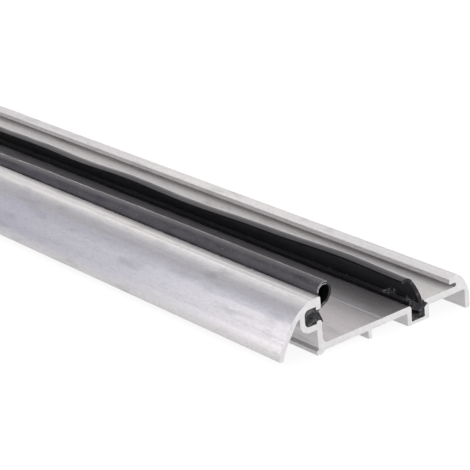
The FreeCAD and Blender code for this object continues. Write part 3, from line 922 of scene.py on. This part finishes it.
    def draw_inner_nose(self, pen: Outline) -> None:
        """Draw the grooved lip, the rounded inner nose and its leg down to the floor.

        Args:
            pen: The outline, at the inner edge of the slot.
        """
        groove, reach = self.groove
        lip_reach, lip_top = self.inner_lip
        under, over = self.inner_lip_rounds
        spread = self.inner_flank - self.inner_crown
        flank = math.radians(self.flank_angle)
        crown = (
            self.depth - self.inner_flank + spread * math.cos(flank),
            self.inner_top - self.inner_crown * math.sin(math.radians(self.crown_angle)),
        )
        tip = (lip_top - groove) / 2.0
        lip = self.depth - lip_reach + tip
        leg_inner = self.depth - self.leg_wall
        pen.line(lip + reach, 0.0)
        pen.bow((lip + reach, groove), groove / 2.0, Side.LEFT)
        pen.line(lip - tip, groove, under)
        pen.line(lip - tip, lip_top, over)
        pen.line(*polar(crown, self.inner_crown, self.crown_angle), self.crown_round)
        pen.bow(polar(crown, self.inner_crown, self.flank_angle), self.inner_crown, Side.RIGHT)
        pen.bow((self.depth, crown[1] - spread * math.sin(flank)), self.inner_flank, Side.RIGHT)
        pen.line(self.depth, self.deck.floor(self.depth), self.leg_round)
        pen.line(leg_inner, self.deck.floor(leg_inner), self.leg_round)
        pen.line(leg_inner, -self.deck_wall, self.web_round)

    def draw_underside(self, pen: Outline) -> None:
        """Draw the channel, the rib, the foot of the upright and the pocket block.

        Args:
            pen: The outline, where the inner leg meets the deck.
        """
        left, right = self.slot
        leg_left, leg_right = left - self.slot_wall, right + self.slot_wall
        leg_base = -(self.slot_depth + self.slot_floor)
        rib_left, rib_right = self.rib
        floor = self.deck.floor
        pen.line(leg_right, -self.deck_wall, self.web_round)
        pen.line(leg_right, leg_base, self.edge_round)
        pen.line(left, leg_base)
        pen.line(left, floor(left))
        pen.line(leg_left, floor(leg_left), self.leg_round)
        pen.line(leg_left, -self.deck_wall, self.web_round)
        pen.line(rib_right, -self.deck_wall, self.web_round)
        pen.line(rib_right, floor(rib_right), self.edge_round)
        pen.line(rib_left, floor(rib_left), self.edge_round)
        pen.line(rib_left, -self.deck_wall, self.web_round)

        foot_left, foot_right, foot_rise = self.foot
        groove, groove_rise, groove_drop = self.foot_groove
        pen.line(self.upright + self.foot_spread, -self.deck_wall)
        pen.line(foot_right, floor(foot_right))
        pen.line(foot_left, floor(foot_left), self.leg_round)
        pen.line(foot_left, floor(foot_left) + groove_rise - groove_drop, self.foot_round)
        pen.line(groove, floor(0.0) + groove_rise, self.edge_round)
        pen.line(0.0, floor(0.0) + foot_rise + self.foot_groove_top, self.edge_round)

        block_base = self.pocket_low[1] - self.pocket_wall
        block_left = self.pocket_low[0] - self.pocket_wall
        corner = self.pocket_round + self.pocket_wall
        pen.line(0.0, block_base)
        pen.line(block_left + corner, block_base)
        pen.bow((block_left, block_base + corner), corner, Side.RIGHT)


@dataclass(frozen=True)
class Wave:
    """How far a soft edge stands above or below its drawn height, along its length."""

    seed: int
    near: tuple[Spot, ...]
    step: float = 34.0
    step_shares: Spot = (0.7, 1.3)
    level: float = -1.7
    swing: float = 0.8

    def knots(self, end: float, length: float) -> list[Spot]:
        """Lay out the given knots at the near end, then random ones to the far end.

        Args:
            end: The x of the near end.
            length: How long the edge is.

        Returns:
            The x and the height of each knot, from the near end on.
        """
        chance = random.Random(self.seed)
        knots = [(end + x, height) for x, height in self.near]
        x = knots[-1][0]
        while x > end - length:
            x -= self.step * chance.uniform(*self.step_shares)
            knots.append((x, self.level + self.swing * chance.uniform(-1.0, 1.0)))
        return knots

    @staticmethod
    def height(knots: list[Spot], x: float) -> float:
        """Find the height at x, eased from knot to knot.

        Args:
            knots: The knots, from the near end on.
            x: The place along the edge.

        Returns:
            The height there.
        """
        for (high_x, high), (low_x, low) in zip(knots, knots[1:]):
            if x >= low_x:
                share = min(max((high_x - x) / (high_x - low_x), 0.0), 1.0)
                return high + (low - high) * share * share * (3.0 - 2.0 * share)
        return knots[-1][1]


@dataclass
class BubbleSeal:
    """The seal in the nose: a stem in the pocket, a hook over the lip and the bubble."""

    deck: DeckFrame
    setback: float = 1.6
    stations: int = 180
    stem_low: Spot = (-3.85, 6.6)
    stem_high: Spot = (0.02, 11.4)
    stem_round: float = 1.4
    stem_corner: float = 0.2
    slit: tuple[Spot, Spot] = ((-1.96, 8.85), (2.6, 0.5))  # middle; length and height
    mouth: Spot = (7.35, 10.35)  # over the lower lip, under the upper lip
    hook: Spot = (1.95, 2.25)  # its two sides
    hook_drop: float = 6.45
    hook_rounds: Spot = (0.85, 0.1)  # crook, tip
    hook_slant: float = 0.5
    neck: float = 1.35
    neck_face: float = 1.85
    middle: Spot = (4.72, 14.47)
    radius: float = 2.53
    wall: float = 0.85
    outer_wall: float = 0.45
    belly: Spot = (4.92, 10.45)  # the lowest spot of the bubble
    belly_bend: float = 4.4
    # width of the band of painted highlight on the cut rim
    hollow_turn: float = 0.1  # how far a face has to turn to the middle to be inside
    highlight_width: float = 0.2
    highlight_low: float = 1.2  # how far under the middle the painted highlight starts
    highlight_line: Spot = (1.4, 0.4)  # slope and start of the line above which the painted highlight lies
    sag: Wave = Wave(
        23, ((0.0, 0.0), (-60.0, 0.0), (-134.0, -0.5), (-170.0, -1.0), (-205.0, -1.15)),
        step=70.0, level=-0.7, swing=0.4)
    finish: RubberFinish = RubberFinish(
        "bubble_rubber", (0.038, 0.0355, 0.040), (0.092, 0.088, 0.095), dust_level=0.66)
    cut: CutRubberFinish = CutRubberFinish(
        "bubble_cut", (0.035, 0.034, 0.037), (0.19, 0.186, 0.195))
    # painted shade: a near-black copy of the rubber on the hollow's inner faces, standing in for
    # the shade inside the bubble
    inside: CutRubberFinish = CutRubberFinish(
        "bubble_hollow_shade", (0.004, 0.004, 0.004), (0.008, 0.008, 0.008))
    # painted highlight: a pale band of rubber on the outer and upper side of the cut rim
    rim_highlight: CutRubberFinish = CutRubberFinish(
        "bubble_rim_highlight", (0.55, 0.55, 0.57), (0.85, 0.85, 0.87))

    def build(self) -> bpy.types.Object:
        """Draw the section, extrude it, trim the bubble back and let it sag.

        Returns:
            The finished seal.
        """
        bm = bmesh.new()
        stem = fill(bm, self.stem_section(bm), self.slit_section(bm))
        fill(bm, self.bubble_section(bm), self.hollow_section(bm))
        bmesh.ops.remove_doubles(bm, verts=bm.verts, dist=WELD)
        stem_area = {middle_of(face) for face in stem if face.is_valid}
        run = self.deck.length - self.setback
        bmesh.ops.translate(bm, verts=bm.verts, vec=(-self.deck.length / 2.0, 0.0, 0.0))
        near = pull(bm, list(bm.faces), run)
        near_stem = [face for face in near if middle_of(face) in stem_area]
        near_tube = [face for face in near if face not in near_stem]
        cut_across(bm, run, self.stations)
        pull(bm, near_stem, self.setback)
        bmesh.ops.recalc_face_normals(bm, faces=bm.faces)
        rim = bmesh.ops.inset_region(
            bm, faces=near_tube, thickness=self.highlight_width, use_boundary=True)
        # faces inside the hollow get the near-black painted shade
        for face in bm.faces:
            if self.lines_hollow(face):
                face.material_index = Patch.HOLLOW_SHADE
        # the rim's outer and upper faces get the pale painted highlight
        for face in rim["faces"]:
            if self.gets_rim_highlight(face):
                face.material_index = Patch.RIM_HIGHLIGHT
        self.let_sag(bm)
        self.deck.place(bm)
        piece = finish_piece(bm, "bubble", {
            Patch.LONG: self.finish, Patch.CUT: self.cut, Patch.HOLLOW_SHADE: self.inside,
            Patch.RIM_HIGHLIGHT: self.rim_highlight})
        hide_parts("bubble_seal")
        return piece

    def let_sag(self, bm: Mesh) -> None:
        """Flatten the bubble a little along its length, its neck held still.

        Args:
            bm: The extruded seal, in millimetres in the deck frame.
        """
        knots = self.sag.knots(self.deck.length / 2.0, self.deck.length)
        neck = self.mouth[1]
        height = self.middle[1] + self.radius - neck
        for vert in bm.verts:
            if vert.co.z > neck and vert.co.y > self.hook[0]:
                vert.co.z += self.sag.height(knots, vert.co.x) * (vert.co.z - neck) / height

    def lines_hollow(self, face: Face) -> bool:
        """Tell whether a face belongs to the inside of the bubble.

        Args:
            face: A face of the seal, in the deck frame.

        Returns:
            Whether it is above the belly and turned towards the bubble's middle.
        """
        centre = face.calc_center_median()
        inward = Vector((0.0, *self.middle)) - Vector((0.0, centre.y, centre.z))
        return centre.z > self.belly[1] and face.normal.dot(inward) > self.hollow_turn

    def gets_rim_highlight(self, face: Face) -> bool:
        """Tell whether a face of the bubble's rim gets the painted highlight.

        Args:
            face: A face of the rim, in the deck frame.

        Returns:
            Whether it is on the rim's outer or upper side.
        """
        _, u, v = face.calc_center_median()
        out, up = u - self.middle[0], v - self.middle[1]
        slope, start = self.highlight_line
        return up > -self.highlight_low and up - slope * out > start

    def stem_section(self, bm: Mesh) -> list[Edge]:
        """Draw the stem with its hook and the root of the neck.

        Args:
            bm: The mesh to draw in.

        Returns:
            The edges of the outline.
        """
        (left, low), (right, high) = self.stem_low, self.stem_high
        hook_in, hook_out = self.hook
        crook, tip = self.hook_rounds
        pen = Outline(bm, (right, high), SEAL_STEP)
        pen.line(left, high, self.stem_round)
        pen.line(left, low, self.stem_round)
        pen.line(right, low, self.stem_corner)
        pen.line(right, self.mouth[0])
        pen.line(hook_in, self.mouth[0], crook)
        pen.line(hook_in, self.hook_drop)
        pen.line(hook_out, self.hook_drop, tip)
        pen.line(hook_out, self.hook_drop + self.hook_slant)
        pen.line(right + self.neck, self.mouth[1] - self.neck)
        pen.line(right + self.neck / 2.0, self.mouth[1])
        pen.line(right, self.mouth[1])
        return pen.close()

    def slit_section(self, bm: Mesh) -> list[Edge]:
        """Draw the narrow slit in the stem.

        Args:
            bm: The mesh to draw in.

        Returns:
            The edges of the outline.
        """
        (u, v), (length, height) = self.slit
        pen = Outline(bm, (u - length / 2.0, v), SEAL_STEP)
        pen.line(u, v - height / 2.0)
        pen.line(u + length / 2.0, v - height / 2.0)
        pen.line(u, v + height / 2.0)
        return pen.close()

    def bubble_section(self, bm: Mesh) -> list[Edge]:
        """Draw the neck and the outside of the bubble.

        Args:
            bm: The mesh to draw in.

        Returns:
            The edges of the outline.
        """
        u, v = self.middle
        root = self.stem_high[0]
        pen = Outline(bm, (root + self.neck, self.mouth[1] - self.neck), SEAL_STEP)
        pen.line(self.neck_face, self.mouth[1] - self.neck)
        pen.line(*self.belly)
        pen.bow((u + self.radius, v), self.belly_bend, Side.LEFT)
        pen.bow((u, v + self.radius), self.radius, Side.LEFT)
        pen.bow((u - self.radius, v), self.radius, Side.LEFT)
        pen.line(u - self.radius, self.belly[1])
        pen.line(self.neck_face, self.mouth[1])
        pen.line(root + self.neck / 2.0, self.mouth[1])
        return pen.close()

    def hollow_section(self, bm: Mesh) -> list[Edge]:
        """Draw the inside of the bubble.

        Args:
            bm: The mesh to draw in.

        Returns:
            The edges of the outline.
        """
        u, v = self.middle
        inner = self.radius - self.wall
        outer = self.radius - self.outer_wall
        pen = Outline(bm, (u - outer, self.belly[1]), SEAL_STEP)
        pen.line(u, self.belly[1] + self.wall)
        pen.bow((u + inner, v), self.belly_bend - self.wall, Side.LEFT)
        pen.bow((u, v + inner), inner, Side.LEFT)
        pen.bow((u - outer, v), (inner + outer) / 2.0, Side.LEFT)
        return pen.close()


@dataclass
class FlapSeal:
    """The seal in the deck: a barbed stem in the slot, a flange and the curled blade."""

    deck: DeckFrame
    stations: int = 230
    slot: Spot = (34.8, 39.6)  # the sides of what fills the slot
    stem: Spot = (37.7, 39.3)  # its two sides
    stem_round: float = 0.3
    base: float = -4.9
    barb: Spot = (0.7, 1.35)  # cut of its corners, height
    plug: Spot = (-1.25, -2.8)  # where its outer side starts and ends to taper
    top_barb: Trio = (-2.05, -0.65, 40.8)  # base, top, tip
    outer_root: Spot = (39.0, 0.0)
    ridge: tuple[Spot, float] = ((34.1, 1.05), 1.3)  # outer corner; width
    ridge_round: float = 0.3
    flange: tuple[Spot, Spot] = ((33.7, 0.65), (33.7, 0.1))  # its outer corners
    lean: float = 106.0  # the blade's way at its root
    turn: float = 129.0  # where its crest starts
    droop: float = 200.0  # and at its tip
    side_bend: float = 21.0
    crest_bend: float = 3.0
    tip_length: float = 0.5
    tip_round: float = 0.15
    walls: Trio = (1.35, 0.95, 0.6)  # root, blade, tip
    root_shade_turn: float = 0.6  # how far a face has to turn outwards to get the near-black painted shade
    root_shade_reach: float = 0.1  # how far that painted shade goes in from the ridge
    wave_root: float = 1.05  # the height where the wave starts
    wave_rise: float = 11.0  # and over which it reaches its full size
    wave_lean: float = 0.35  # how far the blade leans inwards for each millimetre it rises
    wave: Wave = Wave(11, (
        (0.0, 0.5), (-24.0, 1.55), (-60.0, -0.3), (-100.0, -2.05), (-130.0, -1.0),
        (-158.0, -2.5), (-180.0, -1.8), (-208.0, -2.3)))
    finish: RubberFinish = RubberFinish(
        "flap_rubber", (0.026, 0.0245, 0.028), (0.035, 0.0335, 0.038))
    cut: CutRubberFinish = CutRubberFinish(
        "flap_cut", (0.025, 0.024, 0.028), (0.16, 0.157, 0.168))
    # painted shade: a near-black, almost glossless copy of the rubber on the flange's outward
    # faces, where the crevice by the deck lies in shade
    edge: RubberFinish = RubberFinish(
        "flap_root_shade", (0.003, 0.003, 0.003), (0.006, 0.0055, 0.006), specular=0.08, sheen=0.0)

    def build(self) -> bpy.types.Object:
        """Draw the section, extrude it and let the blade wave.

        Returns:
            The finished seal.
        """
        bm = bmesh.new()
        cap = fill(bm, self.section(bm))
        length = self.deck.length
        bmesh.ops.translate(bm, verts=bm.verts, vec=(-length / 2.0, 0.0, 0.0))
        pull(bm, cap, length)
        cut_across(bm, length, self.stations)
        bmesh.ops.recalc_face_normals(bm, faces=bm.faces)
        # the flange's outward faces get the near-black painted shade
        root_shade_end = self.ridge[0][0] + self.root_shade_reach
        for face in bm.faces:
            if face.normal.y < -self.root_shade_turn and face.calc_center_median().y < root_shade_end:
                face.material_index = Patch.ROOT_SHADE
        self.let_wave(bm)
        self.deck.place(bm)
        piece = finish_piece(bm, "flap", {
            Patch.LONG: self.finish, Patch.CUT: self.cut, Patch.ROOT_SHADE: self.edge})
        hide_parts("flap_seal")
        return piece

    def section(self, bm: Mesh) -> list[Edge]:
        """Draw the whole cross-section, up the inner side and down the hollow side.

        Args:
            bm: The mesh to draw in.

        Returns:
            The edges of the outline.
        """
        left, right = self.slot
        stem_left, stem_right = self.stem
        cut, height = self.barb
        low, high, reach = self.top_barb
        root, blade, tip_wall = self.walls
        rise, bend, drop = (angle - 90.0 for angle in (self.lean, self.turn, self.droop))
        side = polar(self.outer_root, -self.side_bend, rise)
        side_end = polar(side, self.side_bend, bend)
        crest = polar(side_end, -self.crest_bend, bend)
        crest_end = polar(crest, self.crest_bend, drop)
        tip = polar(crest_end, self.tip_length, self.droop)
        inner_root = polar(self.outer_root, -root, rise)
        inner_side = self.side_bend - blade
        inner_crest = self.crest_bend - blade

        pen = Outline(bm, (left + cut, self.base), SEAL_STEP)
        pen.line(right, self.base)
        pen.line(right, self.base + cut)
        pen.line(stem_right, self.base + height)
        pen.line(stem_right, low)
        pen.line(right, low)
        pen.line(reach, (low + high) / 2.0)
        pen.line(right, high)
        pen.line(stem_right, high)
        pen.line(*self.outer_root)
        pen.bow(side_end, self.side_bend, Side.LEFT)
        pen.bow(crest_end, self.crest_bend, Side.LEFT)
        pen.line(*tip, self.tip_round)
        pen.line(*polar(tip, -tip_wall, drop), self.tip_round)
        pen.line(*polar(crest, inner_crest, drop))
        pen.bow(polar(side, inner_side, bend), inner_crest, Side.RIGHT)
        pen.bow(inner_root, inner_side, Side.RIGHT)
        (ridge_u, ridge_v), ridge_width = self.ridge
        pen.line(ridge_u + ridge_width, ridge_v, self.ridge_round)
        pen.line(ridge_u, ridge_v, self.ridge_round)
        for u, v in self.flange:
            pen.line(u, v)
        pen.line(left, self.flange[-1][1])
        pen.line(left, self.plug[0])
        pen.line(stem_left, self.plug[1], self.stem_round)
        pen.line(stem_left, self.base + height, self.stem_round)
        pen.line(left, self.base + height + cut)
        pen.line(left, self.base + cut)
        return pen.close()

    def let_wave(self, bm: Mesh) -> None:
        """Raise and lower the blade along its length, its root held still.

        Args:
            bm: The extruded seal, in millimetres in the deck frame.
        """
        knots = self.wave.knots(self.deck.length / 2.0, self.deck.length)
        for vert in bm.verts:
            if vert.co.z > self.wave_root:
                share = min((vert.co.z - self.wave_root) / self.wave_rise, 1.0)
                rise = self.wave.height(knots, vert.co.x) * share * share
                vert.co.z += rise
                vert.co.y += self.wave_lean * rise


@dataclass
class Swarf:
    """Fine shavings of the saw, caught beside the blade near the cut end."""

    deck: DeckFrame
    heaps: tuple[tuple[float, float, int], ...] = (  # distance from the cut end, spread, count
        (10.0, 0.9, 40), (2.0, 1.2, 26), (24.0, 8.0, 5))
    reach: Spot = (0.4, 60.0)  # the nearest and farthest from the cut end
    valley: tuple[Spot, Spot] = ((34.3, 1.0), (37.5, 0.3))  # its two sides
    pile: float = 1.7
    radius: Spot = (0.12, 0.42)
    width: Spot = (0.06, 0.16)
    curl: Spot = (90.0, 300.0)
    curl_rise: float = 0.02
    curl_steps: int = 6
    thickness: float = 0.04
    seed: int = 5
    finish: SawnFinish = SawnFinish("swarf_aluminium", (0.75, 0.74, 0.74), (0.40, 0.39, 0.39))

    def build(self) -> bpy.types.Object:
        """Scatter the shavings in heaps.

        Returns:
            All the shavings as one piece.
        """
        chance = random.Random(self.seed)
        bm = bmesh.new()
        nearest, farthest = self.reach
        (left, top), (right, low) = self.valley
        for place, spread, count in self.heaps:
            for _ in range(count):
                inward = min(max(chance.gauss(place, spread), nearest), farthest)
                share = chance.random()
                height = top + share * (low - top + self.pile * chance.random())
                spot = (self.deck.length / 2.0 - inward, left + share * (right - left), height)
                self.add_curl(bm, chance, Vector(spot))
        self.deck.place(bm)
        return finish_piece(bm, "swarf", {Patch.LONG: self.finish})

    def add_curl(self, bm: Mesh, chance: random.Random, spot: Vector) -> None:
        """Add one curled shaving.

        Args:
            bm: The mesh of all the shavings.
            chance: The source of its size and its way to lie.
            spot: Where it lies.
        """
        others = set(bm.verts)
        start = bmesh.ops.create_vert(bm, co=(chance.uniform(*self.radius), 0.0, 0.0))["vert"]
        bmesh.ops.spin(
            bm, geom=start, cent=ORIGIN, axis=(0.0, 0.0, 1.0), dvec=(0.0, 0.0, self.curl_rise),
            angle=math.radians(chance.uniform(*self.curl)), steps=self.curl_steps)
        arc = [vert for vert in bm.verts if vert not in others]
        edges = list(dict.fromkeys(edge for vert in arc for edge in vert.link_edges))
        strip = bmesh.ops.extrude_edge_only(bm, edges=edges)["geom"]
        risen = [item for item in strip if isinstance(item, Vert)]
        bmesh.ops.translate(bm, verts=risen, vec=(0.0, 0.0, chance.uniform(*self.width)))
        faces = [item for item in strip if isinstance(item, Face)]
        bmesh.ops.solidify(bm, geom=faces, thickness=self.thickness)
        curl = [vert for vert in bm.verts if vert not in others]
        turn = Euler([chance.uniform(0.0, math.tau) for _ in range(3)]).to_matrix()
        bmesh.ops.rotate(bm, verts=curl, cent=ORIGIN, matrix=turn)
        bmesh.ops.translate(bm, verts=curl, vec=spot)


def rectangle(size: Spot) -> Mesh:
    """Make a level rectangle around the origin.

    Args:
        size: Its sides, in metres.

    Returns:
        The new mesh.
    """
    bm = bmesh.new()
    bmesh.ops.create_grid(bm, x_segments=1, y_segments=1, size=0.5)
    bmesh.ops.scale(bm, verts=bm.verts, vec=(*size, 1.0))
    return bm


@dataclass(frozen=True)
class Hung:
    """A flat thing that hangs in the studio and faces its aim."""

    name: str
    place: Place
    aim: Place
    size: Spot

    @property
    def way(self) -> Vector:
        """Return the way that it faces."""
        return Vector(self.aim) - Vector(self.place)


@dataclass(frozen=True)
class Lamp(Hung):
    """A soft rectangular lamp, as bright as its radiance, where white is 1."""

    radiance: float
    colour: Colour = WHITE

    def hang(self) -> None:
        """Hang the lamp, facing its aim."""
        data = bpy.data.lights.new(self.name, "AREA")
        data.shape = "RECTANGLE"
        data.size, data.size_y = self.size
        data.energy = self.radiance * math.pi * self.size[0] * self.size[1]
        data.color = self.colour
        lamp = add_object(self.name, data)
        lamp.location = self.place
        lamp.rotation_euler = self.way.to_track_quat("-Z", "Y").to_euler()


@dataclass(frozen=True)
class Card(Hung):
    """A matt card hung beside the sill to give its gloss a tone."""

    tone: Colour

    def hang(self) -> None:
        """Hang the card, facing its aim."""
        bm = rectangle(self.size)
        turn = self.way.to_track_quat("Z", "Y").to_matrix()
        bmesh.ops.rotate(bm, verts=bm.verts, cent=ORIGIN, matrix=turn)
        bmesh.ops.translate(bm, verts=bm.verts, vec=self.place)
        graph = Graph(self.name)
        graph.settle({
            "Base Color": BLACK, "Specular IOR Level": 0.0, "Emission Color": self.tone,
            "Emission Strength": 1.0})
        card = add_mesh(bm, self.name, [graph.material])
        card.visible_camera = False
        card.visible_shadow = False


@dataclass
class Studio:
    """A pale floor, soft lamps, toned cards, a white surround and the camera."""

    floor_size: float = 6.0
    floor_colour: Colour = (0.18, 0.18, 0.18)
    floor_roughness: float = 0.9
    floor_glow: float = 0.88
    floor_sheen: float = 0.66
    surround: float = 0.78
    camera_place: Place = (0.8262, -0.34643, 0.20252)
    camera_turn: Trio = (71.1234, 0.4286, 51.1492)
    camera_clip: float = 0.05
    focal_pixels: float = 1960.0
    image_pixels: float = 470.0
    sensor: float = 36.0
    lamps: tuple[Lamp, ...] = (  # name, place, aim, size, radiance, colour
        Lamp("overhead", (-0.75, 0.30, 1.35), (0.1, 0.0, 0.0), (1.7, 1.2), 0.25,
             (1.0, 0.98, 0.97)),
        Lamp("panel", (0.19, -0.40, 0.12), (0.45, -0.03, 0.0), (0.18, 0.17), 2.3,
             (1.0, 0.95, 0.92)),
        Lamp("end", (1.25, 0.50, 0.14), (0.457, 0.0, 0.0), (0.6, 0.3), 3.2),
        Lamp("rim", (-0.75, 0.85, 0.05), (0.35, 0.0, 0.0), (1.2, 0.14), 3.0),
        Lamp("side", (1.6, 1.2, 1.2), (0.2, 0.0, 0.0), (1.2, 1.0), 0.4),
    )
    cards: tuple[Card, ...] = (  # name, place, aim, size, tone
        Card("outer_low", (-1.45, -1.17, 0.20), (-1.45, 0.0, 0.2), (2.6, 0.38),
             (0.40, 0.42, 0.55)),
        Card("outer_middle", (-1.45, -0.90, 0.59), (-1.45, 0.0, 0.0), (2.4, 0.7),
             (0.40, 0.42, 0.55)),
        Card("outer_high", (-1.45, -0.34, 1.01), (-1.45, 0.0, 0.0), (2.4, 0.7),
             (0.28, 0.28, 0.33)),
        Card("inner_card", (-1.4, 0.95, 0.80), (-1.4, 0.0, 0.1), (2.6, 0.9),
             (0.72, 0.69, 0.685)),
        Card("low_card", (-1.4, 0.95, 0.21), (-1.4, 0.0, 0.1), (2.6, 0.28),
             (0.46, 0.43, 0.415)),
    )

    def build(self) -> None:
        """Make the whole studio."""
        self.make_floor()
        self.make_surround()
        self.make_camera()
        for hung in (*self.lamps, *self.cards):
            hung.hang()
        bpy.context.scene.view_settings.view_transform = "Standard"
        LOG.info("studio: %d lamps, %d cards", len(self.lamps), len(self.cards))

    def make_floor(self) -> None:
        """Lay the floor, white to the camera but for the shadow on it, and paler in the metal."""
        graph = Graph("pale_floor")
        graph.settle({
            "Base Color": self.floor_colour, "Roughness": self.floor_roughness,
            "Specular IOR Level": 0.0, "Emission Color": WHITE})
        path = graph.tree.nodes.new("ShaderNodeLightPath")
        glow: Socket | float = 0.0
        for ray, level in (("Is Camera Ray", self.floor_glow), ("Is Glossy Ray", self.floor_sheen)):
            glow = combine(graph.tree, Operation.MULTIPLY_ADD, path.outputs[ray], level, glow)
        graph.link(glow, "Emission Strength")
        floor = add_mesh(rectangle((self.floor_size, self.floor_size)), "floor", [graph.material])

    def make_surround(self) -> None:
        """Surround the scene with soft grey light that looks white."""
        world = bpy.data.worlds.new("surround")
        bpy.context.scene.world = world
        world.use_nodes = True
        tree = world.node_tree
        background = tree.nodes["Background"]
        background.inputs["Color"].default_value = (*WHITE, 1.0)
        path = tree.nodes.new("ShaderNodeLightPath")
        seen = path.outputs["Is Camera Ray"]
        for ray in ("Is Glossy Ray", "Is Transmission Ray"):
            seen = combine(tree, Operation.MAXIMUM, seen, path.outputs[ray])
        level = tree.nodes.new("ShaderNodeMapRange")
        level.inputs["To Min"].default_value = self.surround
        level.inputs["To Max"].default_value = 1.0
        tree.links.new(seen, level.inputs["Value"])
        tree.links.new(level.outputs["Result"], background.inputs["Strength"])

    def make_camera(self) -> None:
        """Set the camera where the photograph was taken."""
        data = bpy.data.cameras.new("camera")
        data.sensor_width = self.sensor
        data.lens = self.sensor * self.focal_pixels / self.image_pixels
        data.clip_start = self.camera_clip
        camera = add_object("camera", data)
        camera.location = self.camera_place
        camera.rotation_euler = [math.radians(turn) for turn in self.camera_turn]
        bpy.context.scene.camera = camera


def main() -> None:
    """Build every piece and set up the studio."""
    logging.basicConfig(level=logging.INFO, format="%(message)s")
    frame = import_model()
    LOG.info("loaded %d nodes", len(frame["nodes"]))
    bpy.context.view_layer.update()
    deck = DeckFrame()
    for piece in (Sill, BubbleSeal, FlapSeal, Swarf):
        piece(deck).build()
    Studio().build()


if __name__ == "__main__":
    main()
